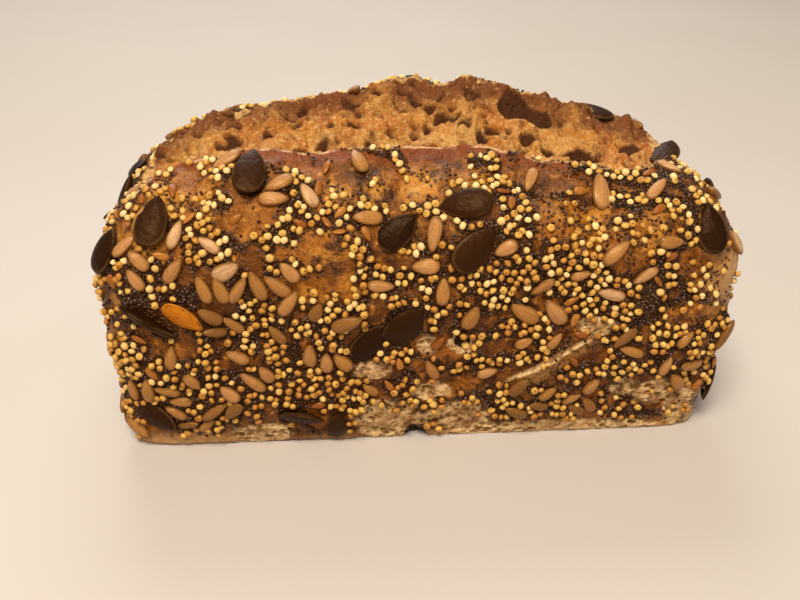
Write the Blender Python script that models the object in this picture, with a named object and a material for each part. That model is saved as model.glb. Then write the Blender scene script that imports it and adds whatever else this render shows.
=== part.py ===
"""A seeded rye loaf, baked in a small tin and scored once along its top: one solid with its larger seeds."""

import math

import bmesh
import bpy
import numpy as np
from mathutils import Matrix, Vector
from mathutils.bvhtree import BVHTree

# The tin's part of the loaf: half sizes at the base and at the widest level, in metres.
BASE_HALF_LENGTH = 0.0855
WIDE_HALF_LENGTH = 0.0895
BASE_HALF_WIDTH = 0.0405
WIDE_HALF_WIDTH = 0.0455
WIDE_LEVEL = 0.052
WIDENING_POWER = 1.7
BASE_ROUND = 0.0014

# The corners seen from above: crisp at the base, rounder where the loaf rose over the tin.
CORNER_POWER = 9
BASE_CORNER_POWER = 17

# The risen part above the widest level.
DOME_HEIGHT = 0.0335
DOME_POWER = 2.8

# The score's lips: (share of the half length, share of the half width), from the left end to the right.
FRONT_LIP = -0.49
FRONT_LIP_PATH = (
    (-0.90, -0.66),
    (-0.84, -0.64),
    (-0.78, -0.54),
    (-0.70, -0.46),
    (-0.59, -0.49),
    (-0.30, -0.48),
    (0.00, -0.48),
    (0.35, -0.52),
    (0.62, -0.57),
    (0.72, -0.55),
    (0.81, -0.38),
    (0.86, -0.26),
    (0.90, -0.24),
)
BACK_LIP = 0.19
BACK_LIP_PATH = (
    (-0.90, -0.60),
    (-0.875, -0.50),
    (-0.85, -0.17),
    (-0.80, 0.07),
    (-0.66, 0.22),
    (-0.40, 0.18),
    (0.00, 0.19),
    (0.40, 0.20),
    (0.73, 0.22),
    (0.79, 0.13),
    (0.83, 0.00),
    (0.86, -0.18),
    (0.90, -0.18),
)

# The score's section, from the front lip's crest down to the valley and up to the back lip.
LIP_CREST = 0.0013
LIP_CREST_REACH = 0.0035
VALLEY_DEPTH = 0.0055
VALLEY_SHARE = 0.08
CLIMB_POWER = 1.55
PEAK_RISE = 0.0066
PEAK_PLACE = 0.0060
PEAK_REACH = 0.039
BACK_RISE = 0.0028
BACK_RISE_LOSS = 0.0018
BACK_RISE_SPREAD = 0.55
BACK_FALL = 0.0070
SCORE_LEFT_END = -0.0790
SCORE_RIGHT_END = 0.0765
SCORE_FADE = 0.0060
RIGHT_SINK = 0.0026
RIGHT_SINK_PLACE = 0.045
RIGHT_SINK_REACH = 0.030

# Relief of the crust and the torn crumb: (height, wavelength, seed) of each layer of lumps.
CRUST_LUMPS = ((0.0010, 0.034, 3), (0.0005, 0.013, 5), (0.0002, 0.006, 8))
CRUMB_LUMPS = ((0.0011, 0.012, 11), (0.0007, 0.0055, 13))

# Torn holes in the crumb: (place along the loaf, share of the way to the back lip, radius, stretch).
CRUMB_HOLES = (
    (0.0330, 0.72, 0.0053, 1.6),
    (0.0480, 0.30, 0.0036, 1.3),
    (0.0640, 0.55, 0.0030, 1.3),
    (-0.0190, 0.83, 0.0018, 1.1),
    (0.0085, 0.55, 0.0024, 1.4),
    (-0.0330, 0.20, 0.0032, 1.5),
    (-0.0560, 0.22, 0.0026, 1.0),
    (-0.0700, 0.30, 0.0030, 1.2),
    (0.0190, 0.33, 0.0022, 1.0),
    (-0.0020, 0.80, 0.0020, 1.3),
)
HOLE_DEPTH_SHARE = 0.9

# Marks on the front: the fold, from its low left end to its high right end, and pits as
# (place along, height, radius).
FOLD_START = (0.0230, 0.0205)
FOLD_END = (0.0480, 0.0380)
FOLD_HEIGHT = 0.0017
FOLD_WIDTH = 0.0080
FRONT_PITS = ((0.0110, 0.0365, 0.0026), (-0.0015, 0.0010, 0.0036))
PIT_DEPTH_SHARE = 0.7
END_BULGE = (0.0855, -0.0380, 0.0500)
END_BULGE_HEIGHT = 0.0010
END_BULGE_RADIUS = 0.0130

# Seeds: (length, width, thickness). A seed lies with this share of its thickness in the crust.
PUMPKIN = (0.0142, 0.0083, 0.0029)
KERNEL = (0.0088, 0.0043, 0.0026)
SUNK_SHARE = 0.30
SEED_SIZE_SPREAD = 0.10

# Pumpkin seeds that show on the front: (share along the front, share up it, turn in degrees, size, tip-over in
# degrees). The share up is -1 at the base, 0 at the widest level, 1 at the block's edge and 1.5 at the lip.
FRONT_PUMPKINS = (
    (-0.58, 1.25, 72, 1.08, 0),
    (-0.93, 0.74, 80, 1.05, 0),
    (-0.08, 0.58, 40, 0.96, 0),
    (0.15, 0.85, 195, 1.04, 0),
    (0.155, 0.42, 37, 1.12, 0),
    (-0.84, -0.10, -33, 1.15, 50),
    (-0.725, -0.08, -40, 0.90, 20),
    (-0.055, -0.17, 52, 1.12, 0),
    (-0.17, -0.28, 55, 1.02, 0),
    (-0.89, -0.77, -42, 0.97, 0),
    (-0.405, -0.79, -12, 0.97, 25),
    (-0.29, -0.86, 80, 0.78, 0),
    (0.965, 0.53, 78, 0.98, -30),
)
# Pumpkin seeds past the front: (face of the block, its two coordinates, turn in degrees, size, tip-over in
# degrees).
OTHER_PUMPKINS = (
    ("left", -0.90, 0.42, 80, 0.95, 0),
    ("top", 0.705, 0.25, 12, 1.05, -35),
    ("right", 0.08, 0.83, 30, 1.05, -20),
)

# Kernels that show on the front: (share along, share up, turn in degrees, size).
FRONT_KERNELS = (
    # Near the lip.
    (-0.20, 1.40, 80, 1.00), (-0.64, 1.43, -110, 1.00), (-0.51, 1.11, -145, 0.95), (-0.43, 1.00, 110, 0.90),
    (-0.54, 0.93, 0, 1.00), (0.665, 1.17, 75, 1.15), (0.93, 1.05, 75, 0.95), (-0.185, 0.71, 170, 0.95),
    # The left end and the heap beside it.
    (-0.995, 0.75, 85, 0.85), (-0.965, 0.50, 50, 0.85), (-0.795, 0.60, 60, 0.90), (-0.75, 0.29, 55, 1.00),
    (-0.875, 0.38, 135, 0.85), (-0.875, 0.22, 120, 0.85), (-0.66, 0.50, 150, 0.75), (-0.59, 0.27, 30, 1.05),
    (-0.495, 0.14, 110, 1.00), (-0.435, 0.13, 140, 0.95), (-0.40, 0.25, 135, 0.88), (-0.655, 0.13, 110, 0.90),
    (-0.605, 0.11, 110, 0.85), (-0.555, 0.11, 60, 0.95), (-0.405, -0.01, 55, 1.05), (-0.645, -0.08, 135, 0.93),
    (-0.58, -0.15, 140, 0.80), (-0.64, -0.19, 170, 0.80), (-0.45, -0.22, 125, 0.80), (-0.785, -0.33, 80, 0.85),
    # The middle.
    (0.005, 0.27, -175, 1.00), (-0.13, 0.11, -5, 0.85), (0.25, 0.42, -150, 0.90), (0.055, 0.06, 85, 0.95),
    (0.145, -0.13, 70, 1.05), (-0.235, -0.13, 20, 0.95), (-0.325, -0.07, 65, 0.82), (0.36, 0.06, -140, 0.85),
    (0.315, -0.14, 145, 1.15), (0.41, -0.13, 125, 1.05), (-0.355, -0.36, 85, 1.00), (-0.305, -0.40, 90, 0.85),
    (-0.255, -0.40, 130, 0.90), (0.32, -0.32, 25, 0.70), (0.42, -0.32, 55, 0.75), (0.03, -0.48, 115, 0.88),
    (0.21, -0.51, 10, 0.80), (-0.17, -0.60, 135, 0.72),
    # The right end.
    (0.585, 0.37, 40, 1.00), (0.765, 0.45, -5, 0.88), (0.67, 0.15, -145, 0.85), (0.47, 0.17, 15, 0.75),
    (0.575, -0.02, 170, 0.88), (0.64, -0.30, -145, 0.90), (0.67, -0.39, 160, 0.85), (0.85, -0.33, 40, 0.80),
    (0.80, -0.50, 70, 0.75), (0.90, -0.51, 170, 1.00), (0.865, -0.63, 125, 0.95), (0.565, -0.63, 60, 0.88),
    # Near the base.
    (-0.58, -0.35, 150, 0.85), (-0.50, -0.47, 120, 0.85), (-0.545, -0.52, 140, 1.00), (-0.625, -0.59, 135, 0.90),
    (-0.625, -0.71, -130, 0.85), (-0.825, -0.56, 160, 0.85), (-0.90, -0.57, 85, 1.00), (-0.985, -0.59, 100, 0.92),
    (-0.79, -0.64, 180, 0.80), (-0.815, -0.72, 150, 0.80), (-0.785, -0.81, 20, 0.80), (-0.725, -0.82, 45, 0.75),
    (0.32, -0.61, 55, 0.92), (0.42, -0.67, 45, 0.78), (0.40, -0.77, 160, 0.80), (0.51, -0.73, 30, 0.70),
    (0.575, -0.78, 125, 0.85), (0.535, -0.82, 145, 0.70), (0.325, -0.81, 155, 0.82),
)

# Counts of the seeds that the rule spreads, and the random numbers' seed.
SPREAD_PUMPKINS = 26
SPREAD_KERNELS = 20
RANDOM_SEED = 41
SEED_GAP = 1.02
FRONT_END = 1.5

# The mesh: cells along the loaf, and the lines of the grid across and up it, which crowd at the lips and
# the base.
LENGTH_CELLS = 40
CROSS_LINES = (-1, -0.88, -0.73, -0.62, -0.55, FRONT_LIP, -0.455, -0.38, -0.28, -0.16, -0.05, 0.07)
CROSS_LINES += (BACK_LIP, 0.24, 0.35, 0.50, 0.68, 0.86, 1)
HEIGHT_LINES = (-1, -0.975, -0.85, -0.69, -0.50, -0.31, -0.12, 0.06, 0.22, 0.38, 0.56, 0.77, 1)
BASE_ANGLE = math.radians(1)

# The faces of the unit block that the loaf is drawn out of: a function from two coordinates to the block's
# three.
# The front's second coordinate runs on past 1, over the block's edge and up to the lip.
BLOCK_FACES = {
    "front": lambda a, b: (a, np.maximum(b - 2, -1), np.minimum(b, 1)),
    "back": lambda a, b: (a, 1 + 0 * a, b),
    "left": lambda a, b: (-1 + 0 * a, a, b),
    "right": lambda a, b: (1 + 0 * a, a, b),
    "top": lambda a, b: (a, b, 1 + 0 * a),
    "bottom": lambda a, b: (a, b, -1 + 0 * a),
}
# How much of the random seeds each face takes.
SEEDED_FACES = {"back": 1.0, "left": 0.9, "right": 0.9, "top": 0.75}


def smooth(value):
    """A step from 0 to 1 with soft ends."""
    value = np.clip(value, 0, 1)
    return value * value * (3 - 2 * value)


def ripple(points, wavelength, seed, waves=20):
    """Random relief of about that wavelength, mostly from -1 to 1, at each point."""
    draw = np.random.default_rng(seed)
    directions = draw.normal(size=(waves, 3))
    directions /= np.linalg.norm(directions, axis=1, keepdims=True)
    turns = 2 * math.pi / (wavelength * draw.uniform(0.7, 1.4, waves))
    phases = draw.uniform(0, 2 * math.pi, waves)
    return np.sin(points @ (directions * turns[:, None]).T + phases).sum(axis=1) * math.sqrt(1 / waves)


def lips(x):
    """The lips' places across the loaf, as shares of the half width, at these distances along it."""
    share = x / WIDE_HALF_LENGTH
    wander = 0.012 * np.sin(9.1 * share + 0.6) + 0.008 * np.sin(23 * share + 2)
    front = np.interp(share, *zip(*FRONT_LIP_PATH)) + wander
    back = np.interp(share, *zip(*BACK_LIP_PATH)) + wander + 0.012 * np.sin(31 * share)
    return front, np.maximum(back, front + 0.05)


def crown(along, level):
    """The dome's shrinking of the block's coordinates where the block's cross coordinate is near 0."""
    return (np.abs(along) ** DOME_POWER + np.abs(level) ** DOME_POWER) ** (1 / DOME_POWER) + 1e-9


def drawn_across(along, across, level):
    """The block's cross coordinate, moved so that its lip lines follow the lips over the top and the ends."""
    shrink = crown(along, level)
    front, back = lips(WIDE_HALF_LENGTH * along / shrink)
    share = smooth((level - 0.15) / 0.5)
    front = FRONT_LIP + (front * shrink - FRONT_LIP) * share
    back = BACK_LIP + (back * shrink - BACK_LIP) * share
    before = -1 + (across + 1) * (front + 1) / (FRONT_LIP + 1)
    between = front + (across - FRONT_LIP) * (back - front) / (BACK_LIP - FRONT_LIP)
    behind = 1 - (1 - across) * (1 - back) / (1 - BACK_LIP)
    return np.where(across < FRONT_LIP, before, np.where(across > BACK_LIP, behind, between))


def plain_loaf(along, across, level):
    """Points and outward directions of the risen loaf before its score, from the block's coordinates."""
    across = drawn_across(along, across, level)
    risen = level > 0
    corner = np.where(risen, CORNER_POWER, CORNER_POWER - (BASE_CORNER_POWER - CORNER_POWER) * level)
    plan = (np.abs(along) ** corner + np.abs(across) ** corner + 1e-30) ** (1 / corner)
    dome = (plan**DOME_POWER + np.abs(level) ** DOME_POWER) ** (1 / DOME_POWER)
    shrink = np.where(risen, dome, plan / np.maximum(np.abs(along), np.abs(across)).clip(1e-9))
    along, across = along / shrink, across / shrink
    height = np.where(risen, WIDE_LEVEL + DOME_HEIGHT * level / dome, WIDE_LEVEL * (1 + level))
    widening = 1 - (1 - np.clip(height / WIDE_LEVEL, 0, 1)) ** WIDENING_POWER
    inset = BASE_ROUND - np.sqrt(BASE_ROUND**2 - np.clip(BASE_ROUND - height, 0, None) ** 2)
    half_length = BASE_HALF_LENGTH + (WIDE_HALF_LENGTH - BASE_HALF_LENGTH) * widening - inset
    half_width = BASE_HALF_WIDTH + (WIDE_HALF_WIDTH - BASE_HALF_WIDTH) * widening - inset
    points = np.stack([half_length * along, half_width * across, height], axis=1)
    plan = (np.abs(along) ** corner + np.abs(across) ** corner + 1e-30) ** (1 / corner)
    side = plan ** (DOME_POWER - corner)
    normals = np.stack(
        [
            side * np.sign(along) * np.abs(along) ** (corner - 1) / half_length,
            side * np.sign(across) * np.abs(across) ** (corner - 1) / half_width,
            np.where(risen, np.abs(level / dome) ** (DOME_POWER - 1) / DOME_HEIGHT, 0),
        ],
        axis=1,
    )
    return points, normals / np.linalg.norm(normals, axis=1, keepdims=True).clip(1e-9)


def score_profile(across, level, points):
    """How far the score lifts each point, and the share of crumb there, from 0 to 1."""
    x = points[:, 0]
    reach = smooth((x - SCORE_LEFT_END) / SCORE_FADE) * smooth((SCORE_RIGHT_END - x) / SCORE_FADE)
    reach = reach * smooth((level - 0.35) / 0.4)
    peak = PEAK_RISE * np.exp(-(((x - PEAK_PLACE) / PEAK_REACH) ** 2))
    rise = peak + BACK_RISE - BACK_RISE_LOSS * smooth(x / 0.06)
    way = np.clip((across - FRONT_LIP) / (BACK_LIP - FRONT_LIP), 0, 1)
    before = LIP_CREST * np.exp(np.minimum(across - FRONT_LIP, 0) * WIDE_HALF_WIDTH / LIP_CREST_REACH)
    drop = smooth(way / VALLEY_SHARE)
    climb = np.clip((way - VALLEY_SHARE) / (1 - VALLEY_SHARE), 0, 1)
    crumb_height = -VALLEY_DEPTH + (VALLEY_DEPTH + rise) * (1 - (1 - climb) ** CLIMB_POWER)
    between = LIP_CREST * (1 - drop) + crumb_height * drop
    behind = rise * (1 - smooth((across - BACK_LIP) / BACK_RISE_SPREAD))
    fall = BACK_FALL * np.clip((across - BACK_LIP) / (1 - BACK_LIP), 0, 1) ** 0.8 * smooth(level)
    lift = np.where(across < FRONT_LIP, before, np.where(across > BACK_LIP, behind, between))
    crumb = smooth(way / 0.04) * smooth((1 - way) / 0.04)
    sink = RIGHT_SINK * np.exp(-(((x - RIGHT_SINK_PLACE) / RIGHT_SINK_REACH) ** 2))
    sink = sink * smooth(level) * (1 - way)
    return lift * reach - sink - fall, crumb * reach


def hole_depth(points):
    """How deep the torn holes are at each point of the crumb."""
    depth = np.zeros(len(points))
    for x, way, radius, stretch in CRUMB_HOLES:
        front, back = lips(x)
        y = WIDE_HALF_WIDTH * (front + way * (back - front))
        apart = np.hypot((points[:, 0] - x) / stretch, points[:, 1] - y) / radius
        depth = np.maximum(depth, HOLE_DEPTH_SHARE * radius * np.sqrt(np.clip(1 - apart**2, 0, 1)))
    return depth


def front_marks(points):
    """Height of the fold, the pits and the bare bulge over the crust."""
    on_front = points[:, 1] < -0.9 * BASE_HALF_WIDTH
    x, z = points[:, 0], points[:, 2]
    start, end = np.array(FOLD_START), np.array(FOLD_END)
    line = end - start
    run = ((x - start[0]) * line[0] + (z - start[1]) * line[1]) / (line @ line)
    below = ((x - start[0]) * line[1] - (z - start[1]) * line[0]) / np.hypot(*line)
    fade = smooth(run / 0.2) * smooth((1.15 - run) / 0.3)
    flap = FOLD_HEIGHT * fade * smooth((below + 0.0004) / 0.0008) * (1 - smooth(below / FOLD_WIDTH))
    height = flap * on_front
    for at_x, at_z, radius in FRONT_PITS:
        apart = np.hypot(x - at_x, z - at_z) / radius
        height -= PIT_DEPTH_SHARE * radius * np.sqrt(np.clip(1 - apart**2, 0, 1)) * on_front
    away = np.linalg.norm(points - np.array(END_BULGE), axis=1) / END_BULGE_RADIUS
    return height + END_BULGE_HEIGHT * np.exp(-(away**2) * 2)


def loaf(along, across, level):
    """Points of the finished loaf and the share of crumb there, from arrays of the block's coordinates."""
    points, outward = plain_loaf(along, across, level)
    lift, crumb = score_profile(across, level, points)
    lean = np.sign(points[:, 0]) * np.abs(points[:, 0] / WIDE_HALF_LENGTH) ** 5
    upward = np.stack([lean, 0 * lean, 1 + 0 * lean], axis=1)
    upward /= np.linalg.norm(upward, axis=1, keepdims=True)
    above_base = smooth((points[:, 2] - 0.001) / 0.008)
    lumps = sum(height * ripple(points, wavelength, seed) for height, wavelength, seed in CRUST_LUMPS)
    torn = sum(height * ripple(points, wavelength, seed) for height, wavelength, seed in CRUMB_LUMPS)
    relief = lumps * above_base + torn * crumb + front_marks(points)
    deep = hole_depth(points) * crumb
    shaped = points + upward * (lift - deep)[:, None] + outward * relief[:, None]
    shaped[:, 2] = np.maximum(shaped[:, 2], 0)
    return shaped, crumb


def face_points(face, a, b):
    """Points and crumb shares on one face of the block, from its two coordinates."""
    a, b = np.asarray(a, float), np.asarray(b, float)
    return loaf(*BLOCK_FACES[face](a, b))


def seat(face, a, b):
    """The place and the outward direction of the crust at one point of a face."""
    step = 0.02
    a0, a1 = max(a - step, -1), min(a + step, 1)
    b0, b1 = max(b - step, -1), min(b + step, FRONT_END if face == "front" else 1)
    points, crumb = face_points(face, [a, a0, a1, a, a], [b, b, b, b0, b1])
    outward = np.cross(points[2] - points[1], points[4] - points[3])
    outward /= np.linalg.norm(outward)
    middle = np.array([0, 0, WIDE_LEVEL * 0.9])
    if outward @ (points[0] - middle) < 0:
        outward = -outward
    return points[0], outward, crumb[0]


def seed_frame(point, outward, turn, tip):
    """A matrix that lays a seed at the point, its length turned in the crust's plane, its side tipped over."""
    outward = Vector(outward)
    level = Vector((0, 0, 1)).cross(outward)
    if level.length < 0.05:
        level = Vector((1, 0, 0)).cross(outward)
    level.normalize()
    upright = outward.cross(level)
    length = level * math.cos(turn) + upright * math.sin(turn)
    width = outward.cross(length)
    width, outward = (
        width * math.cos(tip) + outward * math.sin(tip),
        outward * math.cos(tip) - width * math.sin(tip),
    )
    frame = Matrix((length, width, outward)).transposed().to_4x4()
    frame.translation = Vector(point)
    return frame


def chosen_seeds():
    """Every modelled seed as (kind, matrix, size), the ones placed by hand first."""
    seeds = []
    taken = []

    def settle(kind, point, outward, turn, size, tip=0.0):
        seeds.append((kind, seed_frame(point, outward, math.radians(turn), math.radians(tip)), size))
        taken.append((point, (PUMPKIN if kind == "pumpkin" else KERNEL)[0] * size / 2))

    for face, a, b, turn, size, tip in [("front", *row) for row in FRONT_PUMPKINS] + list(OTHER_PUMPKINS):
        point, outward, _ = seat(face, a, b)
        settle("pumpkin", point, outward, turn, size, tip)
    for a, b, turn, size in FRONT_KERNELS:
        point, outward, _ = seat("front", a, b)
        settle("kernel", point, outward, turn, size)

    draw = np.random.default_rng(RANDOM_SEED)
    faces, shares = zip(*SEEDED_FACES.items())
    areas = np.array([face_area(face) for face in faces]) * shares
    for kind, wanted in (("pumpkin", SPREAD_PUMPKINS), ("kernel", SPREAD_KERNELS)):
        settled = 0
        for _ in range(wanted * 60):
            if settled == wanted:
                break
            face = faces[draw.choice(len(faces), p=areas / areas.sum())]
            a, b = draw.uniform(-0.96, 0.96, 2)
            turn, size = draw.uniform(0, 360), 1 + draw.uniform(-1, 1) * SEED_SIZE_SPREAD
            point, outward, crumb = seat(face, a, b)
            reach = (PUMPKIN if kind == "pumpkin" else KERNEL)[0] * size / 2
            near = any(np.linalg.norm(point - other) < (reach + radius) * SEED_GAP for other, radius in taken)
            if near or crumb > 0 or not seed_ground(face, b, point, reach):
                continue
            settle(kind, point, outward, turn, size)
            settled += 1
    return seeds


def seed_ground(face, b, point, reach):
    """Whether a seed of this reach may lie here: behind the score, clear of the base and the bare bulge."""
    behind = face != "top" or b > BACK_LIP + 0.25
    clear = np.linalg.norm(point - np.array(END_BULGE)) > END_BULGE_RADIUS
    return behind and clear and point[2] > reach + 0.001


def face_area(face, steps=16):
    """The area of a face of the loaf, from a coarse grid."""
    edge = np.linspace(-1, 1, steps + 1)
    a, b = np.meshgrid(edge, edge, indexing="ij")
    points = face_points(face, a.ravel(), b.ravel())[0].reshape(steps + 1, steps + 1, 3)
    sides = points[1:, :-1] - points[:-1, :-1], points[:-1, 1:] - points[:-1, :-1]
    return float(np.linalg.norm(np.cross(*sides), axis=2).sum())


def material(name, colour, roughness):
    """A Principled material without metal."""
    made = bpy.data.materials.new(name)
    made.use_nodes = True
    shader = made.node_tree.nodes["Principled BSDF"]
    shader.inputs["Base Color"].default_value = (*colour, 1)
    shader.inputs["Roughness"].default_value = roughness
    shader.inputs["Metallic"].default_value = 0
    return made


def block_grid(face):
    """The lines of the grid on one face of the block, as two lists of coordinates."""
    length = np.linspace(-1, 1, LENGTH_CELLS + 1)
    height = np.array(HEIGHT_LINES, float)
    cross = np.array(CROSS_LINES, float)
    return {
        "front": (length, height),
        "back": (length, height),
        "left": (cross, height),
        "right": (cross, height),
        "top": (length, cross),
        "bottom": (length, cross),
    }[face]


def build_loaf():
    """The loaf's closed surface, as an object."""
    corners, cells, count = [], [], 0
    for face, place in BLOCK_FACES.items():
        rows, columns = block_grid(face)
        a, b = np.meshgrid(rows, columns, indexing="ij")
        corners.append(np.stack(place(a.ravel(), b.ravel()), axis=1))
        index = count + np.arange(a.size).reshape(a.shape)
        turn = [index[:-1, :-1], index[1:, :-1], index[1:, 1:], index[:-1, 1:]]
        cells.append(np.stack(turn, axis=2).reshape(-1, 4))
        count += a.size
    corners, kept = np.unique(np.round(np.concatenate(corners), 6), axis=0, return_inverse=True)
    cells = kept.reshape(-1)[np.concatenate(cells)]
    points, _ = loaf(*corners.T)
    mesh = bpy.data.meshes.new("loaf")
    mesh.from_pydata(points.tolist(), [], cells.tolist())
    shell = bmesh.new()
    shell.from_mesh(mesh)
    bmesh.ops.recalc_face_normals(shell, faces=shell.faces)
    level_edges = [edge for edge in shell.edges if all(vertex.co.z < 1e-6 for vertex in edge.verts)]
    level_points = [vertex for vertex in shell.verts if vertex.co.z < 1e-6]
    bmesh.ops.dissolve_limit(shell, angle_limit=BASE_ANGLE, verts=level_points, edges=level_edges)
    bmesh.ops.triangulate(shell, faces=shell.faces)
    shell.to_mesh(mesh)
    shell.free()
    body = bpy.data.objects.new("loaf", mesh)
    bpy.context.scene.collection.objects.link(body)
    return body


def seed_mesh(name, size, sides, blunt):
    """A plump seed with a point at one end: an outline, a ring over it, and a tip above and below."""
    length, width, thickness = size
    made = bmesh.new()
    rings = []
    for share, lift in ((1.0, 0.0), (0.62, 0.38)):
        ring = []
        for step in range(sides):
            angle = 2 * math.pi * step / sides
            pointed = 1 - blunt * (1 + math.cos(angle)) / 2
            x = math.cos(angle) * length / 2
            y = math.sin(angle) * width / 2 * pointed * 1.15
            ring.append(made.verts.new((x * share, y * share, thickness * lift)))
        rings.append(ring)
    crown = made.verts.new((0, 0, thickness * 0.5))
    keel = made.verts.new((0, 0, -thickness * 0.5))
    for step in range(sides):
        after = (step + 1) % sides
        outer, inner = rings
        made.faces.new((outer[step], outer[after], inner[after], inner[step]))
        made.faces.new((inner[step], inner[after], crown))
        made.faces.new((outer[after], outer[step], keel))
    bmesh.ops.triangulate(made, faces=made.faces)
    bmesh.ops.recalc_face_normals(made, faces=made.faces)
    mesh = bpy.data.meshes.new(name)
    made.to_mesh(mesh)
    made.free()
    return mesh


def build_seeds(body):
    """A collection of seed objects, each lying in the body's crust."""
    corners = [vertex.co for vertex in body.data.vertices]
    crust = BVHTree.FromPolygons(corners, [face.vertices for face in body.data.polygons])
    heap = bpy.data.collections.new("seeds")
    bpy.context.scene.collection.children.link(heap)
    meshes = {
        "pumpkin": (seed_mesh("pumpkin", PUMPKIN, 8, 0.35), PUMPKIN[2]),
        "kernel": (seed_mesh("kernel", KERNEL, 6, 0.45), KERNEL[2]),
    }
    for kind, frame, size in chosen_seeds():
        mesh, thickness = meshes[kind]
        seed = bpy.data.objects.new(kind, mesh)
        frame.translation = crust.find_nearest(frame.translation)[0]
        lift = Matrix.Translation((0, 0, thickness * size * (0.5 - SUNK_SHARE)))
        seed.matrix_world = frame @ lift @ Matrix.Scale(size, 4)
        heap.objects.link(seed)
    return heap


def fuse(body, heap):
    """Joins the seeds to the loaf and removes their own objects."""
    join = body.modifiers.new("seeds", "BOOLEAN")
    join.operation = "UNION"
    join.operand_type = "COLLECTION"
    join.collection = heap
    join.solver = "EXACT"
    bpy.context.view_layer.update()
    graph = bpy.context.evaluated_depsgraph_get()
    joined = bpy.data.meshes.new_from_object(body.evaluated_get(graph))
    body.modifiers.clear()
    body.data = joined
    for seed in list(heap.objects):
        bpy.data.objects.remove(seed)
    bpy.data.collections.remove(heap)


def main():
    for thing in list(bpy.data.objects):
        bpy.data.objects.remove(thing)
    body = build_loaf()
    fuse(body, build_seeds(body))
    body.data.name = "loaf"
    body.data.materials.clear()
    body.data.materials.append(material("baked_crust", (0.30, 0.13, 0.035), 0.5))
    body.data.shade_smooth()
    body.data.set_sharp_from_angle(angle=math.radians(40))


main()
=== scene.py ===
"""The looks of a seeded rye tin loaf: its crust, the crumb that the score opened, and every seed on it."""

import math

import bmesh
import bpy
import numpy as np
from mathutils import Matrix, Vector

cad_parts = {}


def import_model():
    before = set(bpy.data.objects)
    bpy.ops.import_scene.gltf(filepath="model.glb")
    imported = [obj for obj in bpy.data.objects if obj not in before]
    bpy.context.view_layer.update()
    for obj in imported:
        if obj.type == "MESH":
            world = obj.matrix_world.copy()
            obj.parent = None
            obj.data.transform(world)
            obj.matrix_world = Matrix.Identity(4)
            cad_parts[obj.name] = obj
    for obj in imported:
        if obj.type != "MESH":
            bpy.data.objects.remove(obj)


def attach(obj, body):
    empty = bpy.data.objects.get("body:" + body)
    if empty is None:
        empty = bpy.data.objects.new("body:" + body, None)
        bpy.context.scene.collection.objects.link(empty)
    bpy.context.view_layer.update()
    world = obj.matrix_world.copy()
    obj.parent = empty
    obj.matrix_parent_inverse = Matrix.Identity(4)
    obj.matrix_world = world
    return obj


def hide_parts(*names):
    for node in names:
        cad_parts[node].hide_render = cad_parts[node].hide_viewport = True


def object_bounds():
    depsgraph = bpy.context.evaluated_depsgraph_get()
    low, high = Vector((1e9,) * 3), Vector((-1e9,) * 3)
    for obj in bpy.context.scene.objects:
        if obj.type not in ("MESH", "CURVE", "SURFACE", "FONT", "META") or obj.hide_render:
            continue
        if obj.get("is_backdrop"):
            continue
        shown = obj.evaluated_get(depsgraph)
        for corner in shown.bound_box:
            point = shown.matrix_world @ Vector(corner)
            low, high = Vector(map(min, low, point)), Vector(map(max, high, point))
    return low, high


MILLIMETRES = 1000

# The tin's part of the loaf: half sizes at the base and at the widest level, in metres.
BASE_HALF_LENGTH = 0.0855
WIDE_HALF_LENGTH = 0.0895
BASE_HALF_WIDTH = 0.0405
WIDE_HALF_WIDTH = 0.0455
WIDE_LEVEL = 0.052
WIDENING_POWER = 1.7
BASE_ROUND = 0.0014

# The corners seen from above: crisp at the base, rounder where the loaf rose over the tin.
CORNER_POWER = 9
BASE_CORNER_POWER = 17

# The front's own marks lie where y is less than this.
FRONT_FACE = -0.9 * BASE_HALF_WIDTH

# The risen part above the widest level.
DOME_HEIGHT = 0.0335
DOME_POWER = 2.8

# The score's lips: (share of the half length, share of the half width), from the left end to the right.
FRONT_LIP = -0.49
FRONT_LIP_PATH = (
    (-0.90, -0.66),
    (-0.84, -0.64),
    (-0.78, -0.54),
    (-0.70, -0.46),
    (-0.59, -0.49),
    (-0.30, -0.48),
    (0.00, -0.48),
    (0.35, -0.52),
    (0.62, -0.57),
    (0.72, -0.55),
    (0.81, -0.38),
    (0.86, -0.26),
    (0.90, -0.24),
)
BACK_LIP = 0.19
BACK_LIP_PATH = (
    (-0.90, -0.60),
    (-0.875, -0.50),
    (-0.85, -0.17),
    (-0.80, 0.07),
    (-0.66, 0.22),
    (-0.40, 0.18),
    (0.00, 0.19),
    (0.40, 0.20),
    (0.73, 0.22),
    (0.79, 0.13),
    (0.83, 0.00),
    (0.86, -0.18),
    (0.90, -0.18),
)

# The score's section, from the front lip's crest down to the valley and up to the back lip.
LIP_CREST = 0.0013
LIP_CREST_REACH = 0.0035
VALLEY_DEPTH = 0.0055
VALLEY_SHARE = 0.08
CLIMB_POWER = 1.55
PEAK_RISE = 0.0066
PEAK_PLACE = 0.0060
PEAK_REACH = 0.039
BACK_RISE = 0.0028
BACK_RISE_LOSS = 0.0018
BACK_RISE_SPREAD = 0.55
BACK_FALL = 0.0070
SCORE_LEFT_END = -0.0790
SCORE_RIGHT_END = 0.0765
SCORE_FADE = 0.0060
RIGHT_SINK = 0.0026
RIGHT_SINK_PLACE = 0.045
RIGHT_SINK_REACH = 0.030

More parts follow.
